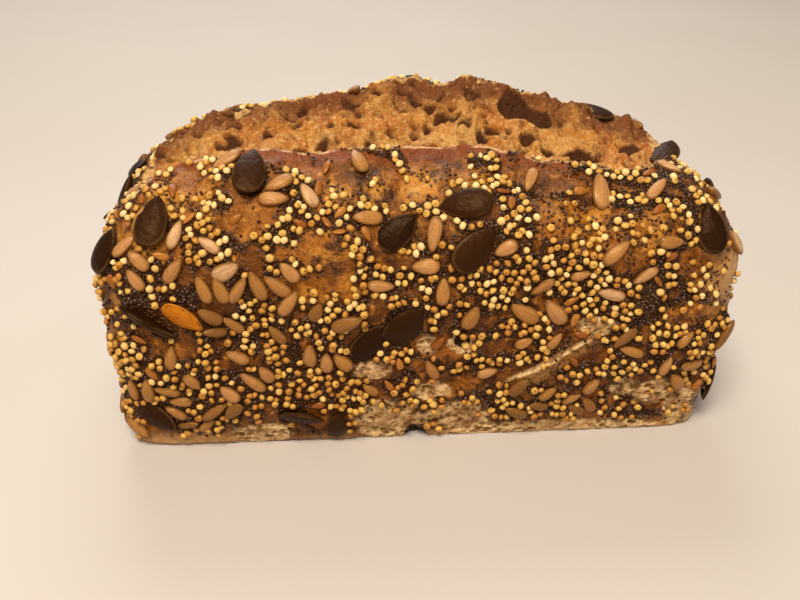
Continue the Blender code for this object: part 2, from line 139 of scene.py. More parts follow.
# Relief of the crust and the torn crumb: (height, wavelength, seed) of each layer of lumps.
CRUST_LUMPS = ((0.0010, 0.034, 3), (0.0005, 0.013, 5), (0.0002, 0.006, 8))
CRUST_GRAIN = ((0.00016, 0.0040, 21), (0.00008, 0.0024, 22))
CRUMB_LUMPS = ((0.0011, 0.012, 11), (0.0007, 0.0055, 13))
CRUMB_GRAIN = ((0.00016, 0.0030, 23), (0.00012, 0.0015, 24))
# How wide the redder crust before the front lip is, and the lip's frayed edge.
LIP_CRUST = 0.0095
FRAYED_WIDTH = 0.0017
# The uneven ridge along both lips: its height, wavelength and seed.
LIP_RIDGE = 0.0005
LIP_WAVE = 0.0022
LIP_SEED = 27

# Torn holes in the crumb: (place along the loaf, share of the way to the back lip, radius, stretch).
CRUMB_HOLES = (
    (0.0330, 0.72, 0.0053, 1.6),
    (0.0480, 0.30, 0.0036, 1.3),
    (0.0640, 0.55, 0.0030, 1.3),
    (-0.0190, 0.83, 0.0018, 1.1),
    (0.0085, 0.55, 0.0024, 1.4),
    (-0.0330, 0.20, 0.0032, 1.5),
    (-0.0560, 0.22, 0.0026, 1.0),
    (-0.0700, 0.30, 0.0030, 1.2),
    (0.0190, 0.33, 0.0022, 1.0),
    (-0.0020, 0.80, 0.0020, 1.3),
)
HOLE_DEPTH_SHARE = 0.9

# Small pores of the crumb and of the torn crust: how many there are (in the torn crust, for each square
# metre), their smallest and largest radius, and their depth as a share of the radius.
PORES = 520
PORE_RADII = (0.00035, 0.0018)
PORE_DEPTH = 1.2
TORN_PORES = 380000
TORN_PORE_RADII = (0.00026, 0.00095)
TORN_PORE_DEPTH = 0.9
# How much lower torn crust lies, and from which share of it on the mesh is finer.
TORN_DROP = 0.0003
TORN_SHARE = 0.35
PORE_SEED = 17

# Marks on the front: the fold, from its low left end to its high right end, and pits as
# (place along, height, radius).
FOLD_START = (0.0230, 0.0205)
FOLD_END = (0.0480, 0.0380)
FOLD_HEIGHT = 0.0017
FOLD_WIDTH = 0.0080
FLAP_WIDTH = 0.0055
FOLD_RIDGE = 0.00032
FOLD_WANDER = 0.00035
FOLD_WAVE = 0.012
FOLD_SEED = 61
FRONT_PITS = ((0.0110, 0.0365, 0.0026), (-0.0015, 0.0010, 0.0036))
PIT_DEPTH_SHARE = 0.7
# The bare bulge at the right end.
END_BULGE = (0.0855, -0.0380, 0.0500)
END_BULGE_HEIGHT = 0.0010
END_BULGE_RADIUS = 0.0130

# Pale torn crust on the front: (along the loaf, height, half length, half height).
PALE_PATCHES = (
    (-0.0100, 0.0080, 0.0110, 0.0095),
    (-0.0140, 0.0275, 0.0060, 0.0035),
    (0.0025, 0.0185, 0.0065, 0.0035),
    (0.0110, 0.0075, 0.0110, 0.0075),
    (0.0400, 0.0020, 0.0330, 0.0035),
    (0.0600, 0.0175, 0.0050, 0.0040),
    (0.0700, 0.0150, 0.0075, 0.0055),
    (0.0800, 0.0085, 0.0070, 0.0095),
    (-0.0470, 0.0045, 0.0100, 0.0045),
    (0.0015, 0.0355, 0.0035, 0.0035),
    (0.0110, 0.0360, 0.0045, 0.0035),
    (0.0490, 0.0405, 0.0065, 0.0030),
)
# The same on the back.
BACK_PALE_PATCHES = (
    (0.0520, 0.0120, 0.0120, 0.0080),
    (0.0130, 0.0060, 0.0160, 0.0060),
    (-0.0400, 0.0150, 0.0090, 0.0050),
    (-0.0610, 0.0050, 0.0110, 0.0050),
    (0.0300, 0.0380, 0.0060, 0.0035),
)
# How high torn pale crust reaches up from the base at the back and the ends.
PALE_BASE = 0.0036
PALE_BASE_WAVE = 0.02
PALE_BASE_SEED = 63

# Bare crust: (along the loaf, height, half length, half height).
AMBER_PATCHES = (
    (0.0020, 0.0790, 0.0180, 0.0030),
    (-0.0140, 0.0775, 0.0140, 0.0020),
    (-0.0265, 0.0665, 0.0070, 0.0045),
    (0.0400, 0.0715, 0.0110, 0.0040),
    (-0.0630, 0.0790, 0.0100, 0.0060),
    (-0.0450, 0.0725, 0.0050, 0.0030),
    (0.0630, 0.0700, 0.0070, 0.0030),
    (0.0780, 0.0585, 0.0080, 0.0080),
    (0.0750, 0.0430, 0.0080, 0.0040),
    (0.0520, 0.0655, 0.0120, 0.0036),
    (-0.0270, 0.0560, 0.0120, 0.0050),
    (-0.0740, 0.0700, 0.0060, 0.0060),
    (-0.0860, 0.0480, 0.0050, 0.0100),
    (-0.0740, 0.0025, 0.0140, 0.0045),
)

# Smooth tan crust: (along the loaf, height, half length, half height).
TAN_PATCHES = (
    (0.0880, 0.0520, 0.0085, 0.0095),
    (-0.0660, 0.0010, 0.0200, 0.0042),
    (0.0300, 0.0000, 0.0600, 0.0030),
)

# Seeds: (length, width, thickness). A seed lies with this share of its thickness in the crust.
PUMPKIN = (0.0142, 0.0083, 0.0029)
KERNEL = (0.0088, 0.0043, 0.0026)
LINSEED = (0.0046, 0.0023, 0.0011)
MILLET = (0.00212, 0.00195, 0.00185)
POPPY = (0.00105, 0.00090, 0.00085)
SUNK_SHARE = 0.30
SEED_SIZE_SPREAD = 0.10

# Pumpkin seeds that show on the front: (share along the front, share up it, turn in degrees, size, tip-over
# in degrees). The share up is -1 at the base, 0 at the widest level, 1 at the block's edge, 1.5 at the lip.
FRONT_PUMPKINS = (
    (-0.58, 1.25, 72, 1.08, 0),
    (-0.93, 0.74, 80, 1.05, 0),
    (-0.08, 0.58, 40, 0.96, 0),
    (0.15, 0.85, 195, 1.04, 0),
    (0.155, 0.42, 37, 1.12, 0),
    (-0.84, -0.10, -33, 1.15, 50),
    (-0.725, -0.08, -40, 0.90, 20),
    (-0.055, -0.17, 52, 1.12, 0),
    (-0.17, -0.28, 55, 1.02, 0),
    (-0.89, -0.77, -42, 0.97, 0),
    (-0.405, -0.79, -12, 0.97, 25),
    (-0.29, -0.86, 80, 0.78, 0),
    (0.965, 0.53, 78, 0.98, -30),
)
ORANGE_PUMPKIN = 6
# Pumpkin seeds past the front: (face of the block, its two coordinates, turn, size, tip-over).
OTHER_PUMPKINS = (
    ("left", -0.90, 0.42, 80, 0.95, 0),
    ("top", 0.705, 0.25, 12, 1.05, -35),
    ("right", 0.08, 0.83, 30, 1.05, -20),
)

# Kernels that show on the front: (share along, share up, turn in degrees, size).
FRONT_KERNELS = (
    # Near the lip.
    (-0.20, 1.40, 80, 1.00), (-0.64, 1.43, -110, 1.00), (-0.51, 1.11, -145, 0.95),
    (-0.43, 1.00, 110, 0.90), (-0.54, 0.93, 0, 1.00), (0.665, 1.17, 75, 1.15), (0.93, 1.05, 75, 0.95),
    (-0.185, 0.71, 170, 0.95),
    # The left end and the heap beside it.
    (-0.995, 0.75, 85, 0.85), (-0.965, 0.50, 50, 0.85), (-0.795, 0.60, 60, 0.90),
    (-0.75, 0.29, 55, 1.00), (-0.875, 0.38, 135, 0.85), (-0.875, 0.22, 120, 0.85),
    (-0.66, 0.50, 150, 0.75), (-0.59, 0.27, 30, 1.05), (-0.495, 0.14, 110, 1.00),
    (-0.435, 0.13, 140, 0.95), (-0.40, 0.25, 135, 0.88), (-0.655, 0.13, 110, 0.90),
    (-0.605, 0.11, 110, 0.85), (-0.555, 0.11, 60, 0.95), (-0.405, -0.01, 55, 1.05),
    (-0.645, -0.08, 135, 0.93), (-0.58, -0.15, 140, 0.80), (-0.64, -0.19, 170, 0.80),
    (-0.45, -0.22, 125, 0.80), (-0.785, -0.33, 80, 0.85),
    # The middle.
    (0.005, 0.27, -175, 1.00), (-0.13, 0.11, -5, 0.85), (0.25, 0.42, -150, 0.90),
    (0.055, 0.06, 85, 0.95), (0.145, -0.13, 70, 1.05), (-0.235, -0.13, 20, 0.95),
    (-0.325, -0.07, 65, 0.82), (0.36, 0.06, -140, 0.85), (0.315, -0.14, 145, 1.15),
    (0.41, -0.13, 125, 1.05), (-0.355, -0.36, 85, 1.00), (-0.305, -0.40, 90, 0.85),
    (-0.255, -0.40, 130, 0.90), (0.32, -0.32, 25, 0.70), (0.42, -0.32, 55, 0.75),
    (0.03, -0.48, 115, 0.88), (0.21, -0.51, 10, 0.80), (-0.17, -0.60, 135, 0.72),
    # The right end.
    (0.585, 0.37, 40, 1.00), (0.765, 0.45, -5, 0.88), (0.67, 0.15, -145, 0.85), (0.47, 0.17, 15, 0.75),
    (0.575, -0.02, 170, 0.88), (0.64, -0.30, -145, 0.90), (0.67, -0.39, 160, 0.85),
    (0.85, -0.33, 40, 0.80), (0.80, -0.50, 70, 0.75), (0.90, -0.51, 170, 1.00),
    (0.865, -0.63, 125, 0.95), (0.565, -0.63, 60, 0.88),
    # Near the base.
    (-0.58, -0.35, 150, 0.85), (-0.50, -0.47, 120, 0.85), (-0.545, -0.52, 140, 1.00),
    (-0.625, -0.59, 135, 0.90), (-0.625, -0.71, -130, 0.85), (-0.825, -0.56, 160, 0.85),
    (-0.90, -0.57, 85, 1.00), (-0.985, -0.59, 100, 0.92), (-0.79, -0.64, 180, 0.80),
    (-0.815, -0.72, 150, 0.80), (-0.785, -0.81, 20, 0.80), (-0.725, -0.82, 45, 0.75),
    (0.32, -0.61, 55, 0.92), (0.42, -0.67, 45, 0.78), (0.40, -0.77, 160, 0.80), (0.51, -0.73, 30, 0.70),
    (0.575, -0.78, 125, 0.85), (0.535, -0.82, 145, 0.70), (0.325, -0.81, 155, 0.82),
)

# The modelled seeds that the rule spreads: how many, the random numbers' seed, and the least distance of two
# as a share of their half lengths together. FRONT_END is where the front's second coordinate ends.
SPREAD_PUMPKINS = 26
SPREAD_KERNELS = 20
RANDOM_SEED = 41
SEED_GAP = 1.02
FRONT_END = 1.5

# The smaller seeds of the looks: how many at most, and how many places are tried for each kind.
MORE_KERNELS = 180
LINSEEDS = 90
MILLETS = 3330
POPPIES = 19800
TRIES = {"kernel": 4000, "linseed": 2500, "millet": 70000, "poppy": 140000}
SCATTER_SEEDS = {"kernel": 101, "linseed": 102, "millet": 103, "poppy": 104}
# How close they lie, where 1 is touching, and how much their sizes differ.
CLOSENESS = {"kernel": 0.86, "linseed": 0.9, "millet": 0.92, "poppy": 0.86}
SCATTER_SIZE_SPREAD = 0.14
# The least height of a seed's middle, as a share of its length, and the share of crumb where seeds end.
BASE_CLEARANCE = 0.55
SEED_CRUMB = 0.02

# The faces of the unit block that the loaf is drawn out of, each a function from two coordinates to the
# block's three. The front's second coordinate runs on past 1, over the block's edge and up to the lip.
BLOCK_FACES = {
    "front": lambda a, b: (a, np.maximum(b - 2, -1), np.minimum(b, 1)),
    "back": lambda a, b: (a, 1 + 0 * a, b),
    "left": lambda a, b: (-1 + 0 * a, a, b),
    "right": lambda a, b: (1 + 0 * a, a, b),
    "top": lambda a, b: (a, b, 1 + 0 * a),
}
# How much of the random seeds each face takes.
SEEDED_FACES = {"back": 1.0, "left": 0.9, "right": 0.9, "top": 0.75}

# The crust's mesh: its grid's cells, and how often the detailed ones are cut again.
LENGTH_CELLS = 148
LOW_CELLS = 40
HIGH_CELLS = 26
FRONT_CELLS = 22
SCORE_CELLS = 26
BACK_CELLS = 26
SCORE_CUTS = 2

# How densely each kind lies at heights over the base, from 0 to 1.
HEIGHTS = (0, 0.006, 0.012, 0.030, 0.040, 0.052, 0.064, 0.074, 0.079, 0.095)
DENSITY = {
    "kernel": (0.20, 0.50, 1.00, 0.90, 0.55, 0.75, 0.60, 0.40, 0.08, 0.03),
    "linseed": (0.10, 0.20, 0.40, 0.50, 0.80, 1.00, 0.90, 0.60, 0.20, 0.10),
    "millet": (0.30, 0.55, 0.80, 0.85, 0.95, 1.00, 0.85, 0.70, 0.45, 0.60),
    "poppy": (0.30, 0.60, 0.95, 1.00, 1.00, 1.00, 0.90, 0.75, 0.50, 0.60),
}
# The clumps that each kind lies in: (size of a clump, how much of the crust is outside them, from 0 to 1).
CLUMPS = {"kernel": (0.020, 0.2), "linseed": (0.020, 0.2), "millet": (0.0080, 0.47), "poppy": (0.0080, 0.36)}
# Nothing lies lower than this over the base.
BARE_BASE = 0.0022
CLUMP_SEED = {"kernel": 50, "linseed": 51, "millet": 52, "poppy": 52}
CLUMP_SOFTNESS = {"kernel": 0.4, "linseed": 0.4, "millet": 0.5, "poppy": 1.3}
# The front's kernels are listed one by one, so that few more lie there.
MORE_FRONT_KERNELS = 0.10
FRONT_REACH = 0.086
# The front and the back are past this distance from the loaf's middle line.
SIDE_START = 0.012
# How much of the seeds' density a bare place takes away.
BARE_LOSS = 0.97
# Where the front's covering differs: (along, height, half length, half height), then factors for the kernels,
# the millet and the poppy seeds.
COVERING = (
    (-0.046, 0.055, 0.018, 0.006, 0.5, 0.4, 0.9),
    (-0.015, 0.074, 0.026, 0.003, 0.3, 2.2, 1.2),
    (-0.010, 0.064, 0.018, 0.006, 0.4, 1.8, 1.0),
    (0.031, 0.077, 0.010, 0.006, 0.2, 1.8, 1.8),
    (0.060, 0.074, 0.016, 0.006, 0.3, 1.1, 1.9),
    (0.072, 0.080, 0.010, 0.006, 0.3, 1.6, 1.8),
    (-0.060, 0.083, 0.014, 0.003, 0.3, 3.0, 0.8),
    (0.076, 0.060, 0.010, 0.008, 0.2, 0.5, 0.8),
    (-0.010, 0.082, 0.060, 0.003, 0.2, 0.2, 0.3),
    (0.040, 0.082, 0.040, 0.003, 0.2, 0.2, 0.2),
    (0.040, 0.060, 0.012, 0.006, 0.4, 0.8, 1.8),
    (0.058, 0.046, 0.014, 0.005, 0.3, 0.5, 2.2),
    (-0.072, 0.054, 0.012, 0.004, 0.3, 0.3, 2.5),
    (-0.030, 0.050, 0.030, 0.006, 0.6, 1.5, 1.2),
    (-0.048, 0.022, 0.034, 0.013, 1.0, 1.9, 1.9),
)
SPOT_KINDS = ("kernel", "millet", "poppy")
# How far the seeds of each kind are tipped over, in radians.
TIPPED = {"kernel": 0.25, "linseed": 0.5, "millet": 0.7, "poppy": 0.3}
# How far millet grains are lifted out of the crust, as a share of their thickness.
MILLET_LIFT = 0.28

# Lights: (name, place, aim, size in metres, power in watts, colour).
LIGHTS = (
    ("window", (-0.10, 0.90, 0.90), (0, 0.1, 0.05), 0.8, 9.0, (0.98, 0.99, 1.0)),
    ("above", (-0.15, -0.50, 0.95), (0, 0, 0.05), 0.4, 14.0, (1.0, 0.96, 0.90)),
    ("fill", (0.30, -1.20, 0.50), (0, 0, 0.04), 1.0, 3.5, (1.0, 0.88, 0.72)),
)
SKY = (1.0, 0.94, 0.86, 1)
SKY_STRENGTH = 0.28
FLOOR_HALF = 3.0
FLOOR_TONES = ((0.50, 0.425, 0.35), (0.55, 0.475, 0.40))

# The photograph's camera.
CAMERA_PLACE = (-0.0190, -0.2553, 0.1724)
CAMERA_PITCH = 30
CAMERA_HEADING = -3.41
LENS = 40.5
SENSOR = 36
CLIP_START = 0.01


def smooth(value):
    """A step from 0 to 1 with soft ends."""
    value = np.clip(value, 0, 1)
    return value * value * (3 - 2 * value)


def ripple(points, wavelength, seed, waves=20):
    """Random relief of about that wavelength, mostly from -1 to 1, at each point."""
    draw = np.random.default_rng(seed)
    directions = draw.normal(size=(waves, 3))
    directions /= np.linalg.norm(directions, axis=1, keepdims=True)
    turns = 2 * math.pi / (wavelength * draw.uniform(0.7, 1.4, waves))
    phases = draw.uniform(0, 2 * math.pi, waves)
    return np.sin(points @ (directions * turns[:, None]).T + phases).sum(axis=1) * math.sqrt(1 / waves)


def lips(x):
    """The lips' places across the loaf, as shares of the half width, at these distances along it."""
    share = x / WIDE_HALF_LENGTH
    wander = 0.012 * np.sin(9.1 * share + 0.6) + 0.008 * np.sin(23 * share + 2)
    front = np.interp(share, *zip(*FRONT_LIP_PATH)) + wander
    back = np.interp(share, *zip(*BACK_LIP_PATH)) + wander + 0.012 * np.sin(31 * share)
    return front, np.maximum(back, front + 0.05)


def crown(along, level):
    """The dome's shrinking of the block's coordinates where the block's cross coordinate is near 0."""
    return (np.abs(along) ** DOME_POWER + np.abs(level) ** DOME_POWER) ** (1 / DOME_POWER) + 1e-9


def drawn_across(along, across, level):
    """The block's cross coordinate, moved so that its lip lines follow the lips over the top and the ends."""
    shrink = crown(along, level)
    front, back = lips(WIDE_HALF_LENGTH * along / shrink)
    share = smooth((level - 0.15) / 0.5)
    front = FRONT_LIP + (front * shrink - FRONT_LIP) * share
    back = BACK_LIP + (back * shrink - BACK_LIP) * share
    before = -1 + (across + 1) * (front + 1) / (FRONT_LIP + 1)
    between = front + (across - FRONT_LIP) * (back - front) / (BACK_LIP - FRONT_LIP)
    behind = 1 - (1 - across) * (1 - back) / (1 - BACK_LIP)
    return np.where(across < FRONT_LIP, before, np.where(across > BACK_LIP, behind, between))


def plain_loaf(along, across, level):
    """Points and outward directions of the risen loaf before its score, from the block's coordinates."""
    across = drawn_across(along, across, level)
    risen = level > 0
    corner = np.where(risen, CORNER_POWER, CORNER_POWER - (BASE_CORNER_POWER - CORNER_POWER) * level)
    plan = (np.abs(along) ** corner + np.abs(across) ** corner + 1e-30) ** (1 / corner)
    dome = (plan**DOME_POWER + np.abs(level) ** DOME_POWER) ** (1 / DOME_POWER)
    shrink = np.where(risen, dome, plan / np.maximum(np.abs(along), np.abs(across)).clip(1e-9))
    along, across = along / shrink, across / shrink
    height = np.where(risen, WIDE_LEVEL + DOME_HEIGHT * level / dome, WIDE_LEVEL * (1 + level))
    widening = 1 - (1 - np.clip(height / WIDE_LEVEL, 0, 1)) ** WIDENING_POWER
    inset = BASE_ROUND - np.sqrt(BASE_ROUND**2 - np.clip(BASE_ROUND - height, 0, None) ** 2)
    half_length = BASE_HALF_LENGTH + (WIDE_HALF_LENGTH - BASE_HALF_LENGTH) * widening - inset
    half_width = BASE_HALF_WIDTH + (WIDE_HALF_WIDTH - BASE_HALF_WIDTH) * widening - inset
    points = np.stack([half_length * along, half_width * across, height], axis=1)
    plan = (np.abs(along) ** corner + np.abs(across) ** corner + 1e-30) ** (1 / corner)
    side = plan ** (DOME_POWER - corner)
    normals = np.stack(
        [
            side * np.sign(along) * np.abs(along) ** (corner - 1) / half_length,
            side * np.sign(across) * np.abs(across) ** (corner - 1) / half_width,
            np.where(risen, np.abs(level / dome) ** (DOME_POWER - 1) / DOME_HEIGHT, 0),
        ],
        axis=1,
    )
    return points, normals / np.linalg.norm(normals, axis=1, keepdims=True).clip(1e-9)


def score_profile(across, level, points):
    """How far the score lifts each point, and the share of crumb there, from 0 to 1."""
    x = points[:, 0]
    reach = smooth((x - SCORE_LEFT_END) / SCORE_FADE) * smooth((SCORE_RIGHT_END - x) / SCORE_FADE)
    reach = reach * smooth((level - 0.35) / 0.4)
    peak = PEAK_RISE * np.exp(-(((x - PEAK_PLACE) / PEAK_REACH) ** 2))
    rise = peak + BACK_RISE - BACK_RISE_LOSS * smooth(x / 0.06)
    way = np.clip((across - FRONT_LIP) / (BACK_LIP - FRONT_LIP), 0, 1)
    before = LIP_CREST * np.exp(np.minimum(across - FRONT_LIP, 0) * WIDE_HALF_WIDTH / LIP_CREST_REACH)
    drop = smooth(way / VALLEY_SHARE)
    climb = np.clip((way - VALLEY_SHARE) / (1 - VALLEY_SHARE), 0, 1)
    crumb_height = -VALLEY_DEPTH + (VALLEY_DEPTH + rise) * (1 - (1 - climb) ** CLIMB_POWER)
    between = LIP_CREST * (1 - drop) + crumb_height * drop
    behind = rise * (1 - smooth((across - BACK_LIP) / BACK_RISE_SPREAD))
    fall = BACK_FALL * np.clip((across - BACK_LIP) / (1 - BACK_LIP), 0, 1) ** 0.8 * smooth(level)
    lift = np.where(across < FRONT_LIP, before, np.where(across > BACK_LIP, behind, between))
    crumb = smooth(way / 0.04) * smooth((1 - way) / 0.04)
    sink = RIGHT_SINK * np.exp(-(((x - RIGHT_SINK_PLACE) / RIGHT_SINK_REACH) ** 2))
    sink = sink * smooth(level) * (1 - way)
    return lift * reach - sink - fall, crumb * reach


def hole_depth(points):
    """How deep the torn holes are at each point of the crumb."""
    depth = np.zeros(len(points))
    for x, way, radius, stretch in CRUMB_HOLES:
        front, back = lips(x)
        y = WIDE_HALF_WIDTH * (front + way * (back - front))
        apart = np.hypot((points[:, 0] - x) / stretch, points[:, 1] - y) / radius
        depth = np.maximum(depth, HOLE_DEPTH_SHARE * radius * np.sqrt(np.clip(1 - apart**2, 0, 1)))
    return depth


def fold_place(points):
    """The share of the fold at each point of the front, from 0 to 1, and how far below its edge that is."""
    start, end = np.array(FOLD_START), np.array(FOLD_END)
    line = end - start
    x, z = points[:, 0] - start[0], points[:, 2] - start[1]
    run = (x * line[0] + z * line[1]) / (line @ line)
    below = (x * line[1] - z * line[0]) / np.hypot(*line) + FOLD_WANDER * ripple(points, FOLD_WAVE, FOLD_SEED)
    on_front = points[:, 1] < FRONT_FACE
    return smooth(run / 0.2) * smooth((1.15 - run) / 0.3) * on_front, below


def pit_depth(points):
    """How deep the pits of the front are at each point."""
    depth = np.zeros(len(points))
    for x, z, radius in FRONT_PITS:
        apart = np.hypot(points[:, 0] - x, points[:, 2] - z) / radius
        depth = np.maximum(depth, PIT_DEPTH_SHARE * radius * np.sqrt(np.clip(1 - apart**2, 0, 1)))
    return depth * (points[:, 1] < FRONT_FACE)


def front_marks(points):
    """Height of the fold, the pits and the bare bulge over the crust."""
    fade, below = fold_place(points)
    flap = FOLD_HEIGHT * fade * smooth((below + 0.0004) / 0.0008) * (1 - smooth(below / FOLD_WIDTH))
    height = flap - pit_depth(points)
    away = np.linalg.norm(points - np.array(END_BULGE), axis=1) / END_BULGE_RADIUS
    return height + END_BULGE_HEIGHT * np.exp(-(away**2) * 2)


def layers(points, lumps):
    """The sum of these layers of lumps at each point."""
    return sum(height * ripple(points, wavelength, seed) for height, wavelength, seed in lumps)


def loaf(along, across, level, fine=None):
    """Points of the finished loaf and the share of crumb there, from arrays of the block's coordinates.
    fine is a function of the plain points and their crumb share that gives relief too small for the solid."""
    points, outward = plain_loaf(along, across, level)
    lift, crumb = score_profile(across, level, points)
    lean = np.sign(points[:, 0]) * np.abs(points[:, 0] / WIDE_HALF_LENGTH) ** 5
    upward = np.stack([lean, 0 * lean, 1 + 0 * lean], axis=1)
    upward /= np.linalg.norm(upward, axis=1, keepdims=True)
    above_base = smooth((points[:, 2] - 0.001) / 0.008)
    relief = layers(points, CRUST_LUMPS) * above_base + layers(points, CRUMB_LUMPS) * crumb
    relief = relief + front_marks(points)
    deep = hole_depth(points) * crumb
    if fine is not None:
        small, small_deep = fine(points, crumb)
        relief = relief + small * smooth(points[:, 2] / 0.001)
        deep = deep + small_deep
    shaped = points + upward * (lift - deep)[:, None] + outward * relief[:, None]
    shaped[:, 2] = np.maximum(shaped[:, 2], 0)
    return shaped, crumb


def face_points(face, a, b):
    """Points and crumb shares on one face of the block, from its two coordinates."""
    a, b = np.asarray(a, float), np.asarray(b, float)
    return loaf(*BLOCK_FACES[face](a, b))


def seats(face, a, b):
    """The places and the outward directions of the crust at points of a face, and their crumb shares."""
    step, count = 0.02, len(a)
    a0, a1 = np.maximum(a - step, -1), np.minimum(a + step, 1)
    b0, b1 = np.maximum(b - step, -1), np.minimum(b + step, FRONT_END if face == "front" else 1)
    points, crumb = face_points(face, np.concatenate([a, a0, a1, a, a]), np.concatenate([b, b, b, b0, b1]))
    here, left, right, low, high = points.reshape(5, count, 3)
    outward = np.cross(right - left, high - low)
    outward /= np.linalg.norm(outward, axis=1, keepdims=True).clip(1e-12)
    inward = ((here - np.array([0, 0, WIDE_LEVEL * 0.9])) * outward).sum(axis=1) < 0
    outward[inward] *= -1
    return here, outward, crumb[:count]


def seat(face, a, b):
    """The place and the outward direction of the crust at one point of a face, and its crumb share."""
    here, outward, crumb = seats(face, np.array([float(a)]), np.array([float(b)]))
    return here[0], outward[0], crumb[0]


def face_area(face, steps=16):
    """The area of a face of the loaf, from a coarse grid."""
    edge = np.linspace(-1, 1, steps + 1)
    a, b = np.meshgrid(edge, edge, indexing="ij")
    points = face_points(face, a.ravel(), b.ravel())[0].reshape(steps + 1, steps + 1, 3)
    sides = points[1:, :-1] - points[:-1, :-1], points[:-1, 1:] - points[:-1, :-1]
    return float(np.linalg.norm(np.cross(*sides), axis=2).sum())


def seed_axes(outward, turn, tip):
    """The directions of a seed's length, width and thickness, one set for each outward direction, as rows."""
    level = np.cross([0.0, 0.0, 1.0], outward)
    flat = np.linalg.norm(level, axis=-1, keepdims=True) < 0.05
    level = np.where(flat, np.cross([1.0, 0.0, 0.0], outward), level)
    level /= np.linalg.norm(level, axis=-1, keepdims=True)
    upright = np.cross(outward, level)
    turn, tip = np.asarray(turn)[..., None], np.asarray(tip)[..., None]
    length = level * np.cos(turn) + upright * np.sin(turn)
    width = np.cross(outward, length)
    tipped = width * np.cos(tip) + outward * np.sin(tip)
    return np.stack([length, tipped, outward * np.cos(tip) - width * np.sin(tip)], axis=-2)


def modelled_seeds():
    """Every seed of the solid as (kind, place, axes, size), the listed ones first."""
    seeds = []
    taken = []

    def settle(kind, point, outward, turn, size, tip=0.0):
        seeds.append((kind, point, seed_axes(outward, math.radians(turn), math.radians(tip)), size))
        taken.append((point, (PUMPKIN if kind == "pumpkin" else KERNEL)[0] * size / 2))

    for face, a, b, turn, size, tip in [("front", *row) for row in FRONT_PUMPKINS] + list(OTHER_PUMPKINS):
        point, outward, _ = seat(face, a, b)
        settle("pumpkin", point, outward, turn, size, tip)
    for a, b, turn, size in FRONT_KERNELS:
        point, outward, _ = seat("front", a, b)
        settle("kernel", point, outward, turn, size)

    draw = np.random.default_rng(RANDOM_SEED)
    faces, shares = zip(*SEEDED_FACES.items())
    areas = np.array([face_area(face) for face in faces]) * shares
    for kind, wanted in (("pumpkin", SPREAD_PUMPKINS), ("kernel", SPREAD_KERNELS)):
        settled = 0
        for _ in range(wanted * 60):
            if settled == wanted:
                break
            face = faces[draw.choice(len(faces), p=areas / areas.sum())]
            a, b = draw.uniform(-0.96, 0.96, 2)
            turn, size = draw.uniform(0, 360), 1 + draw.uniform(-1, 1) * SEED_SIZE_SPREAD
            point, outward, crumb = seat(face, a, b)
            reach = (PUMPKIN if kind == "pumpkin" else KERNEL)[0] * size / 2
            near = any(np.linalg.norm(point - other) < (reach + radius) * SEED_GAP for other, radius in taken)
            if near or crumb > 0 or not seed_ground(face, b, point, reach):
                continue
            settle(kind, point, outward, turn, size)
            settled += 1
    return seeds


def seed_ground(face, b, point, reach):
    """Whether a seed of this reach may lie here: behind the score, clear of the base and the bare bulge."""
    behind = face != "top" or b > BACK_LIP + 0.25
    clear = np.linalg.norm(point - np.array(END_BULGE)) > END_BULGE_RADIUS
    return behind and clear and point[2] > reach + 0.001


def patch_share(points, patches, soft=0.45, side=-1):
    """How far each point of the front is inside one of these patches, from 0 to 1. side is 1 for the back."""
    share = np.zeros(len(points))
    for x, z, half_length, half_height in patches:
        apart = np.hypot((points[:, 0] - x) / half_length, (points[:, 2] - z) / half_height)
        share = np.maximum(share, smooth((1 + soft - apart) / (2 * soft)))
    return share * (points[:, 1] * side > SIDE_START)


def pale_share(points):
    """How far each point is in torn pale crust, from 0 to 1: in a patch, or low on the sides and the back."""
    share = np.maximum(patch_share(points, PALE_PATCHES), patch_share(points, BACK_PALE_PATCHES, side=1))
    hidden = (points[:, 1] > FRONT_FACE) | (np.abs(points[:, 0]) > 0.98 * BASE_HALF_LENGTH)
    edge = PALE_BASE * (1 + 0.6 * ripple(points, PALE_BASE_WAVE, PALE_BASE_SEED))
    return np.maximum(share, 0.8 * smooth((edge - points[:, 2]) / 0.0015) * hidden)


def flap_share(points):
    """How far each point is on the fold's bare flap, from 0 to 1."""
    fade, below = fold_place(points)
    return fade * smooth((below + 0.001) / 0.001) * smooth((FLAP_WIDTH - below) / 0.002)


def density(kind, points):
    """How densely seeds of this kind lie at each point of the crust, from 0 to 1 and more."""
    share = np.interp(points[:, 2], HEIGHTS, DENSITY[kind])
    front = points[:, 1] < -SIDE_START
    placed = front & (np.abs(points[:, 0]) < FRONT_REACH) & (kind == "kernel")
    crowd = np.where(placed, MORE_FRONT_KERNELS, 1)
    if kind in SPOT_KINDS:
        for x, z, half_length, half_height, *factors in COVERING:
            apart = np.hypot((points[:, 0] - x) / half_length, (points[:, 2] - z) / half_height)
            factor = factors[SPOT_KINDS.index(kind)]
            share = share * (1 + (factor - 1) * np.exp(-(apart**2)) * front)
    bare = np.maximum.reduce([
        pale_share(points),
        patch_share(points, TAN_PATCHES),
        0.85 * patch_share(points, AMBER_PATCHES),
        0.9 * flap_share(points),
        smooth(pit_depth(points) / 0.0006),
    ])
    size, outside = CLUMPS[kind]
    seed = CLUMP_SEED[kind]
    clumps = ripple(points, size, seed) + 0.8 * ripple(points, size * 2.3, seed + 10)
    edge = 1.8 * (outside * 2 - 1) + 1.1 * (1 - np.clip(share, 0, 2))
    spread = smooth((clumps - edge) / CLUMP_SOFTNESS[kind] + 0.5)
    return crowd * spread * (1 - BARE_LOSS * bare) * smooth((points[:, 2] - BARE_BASE) / BARE_BASE)


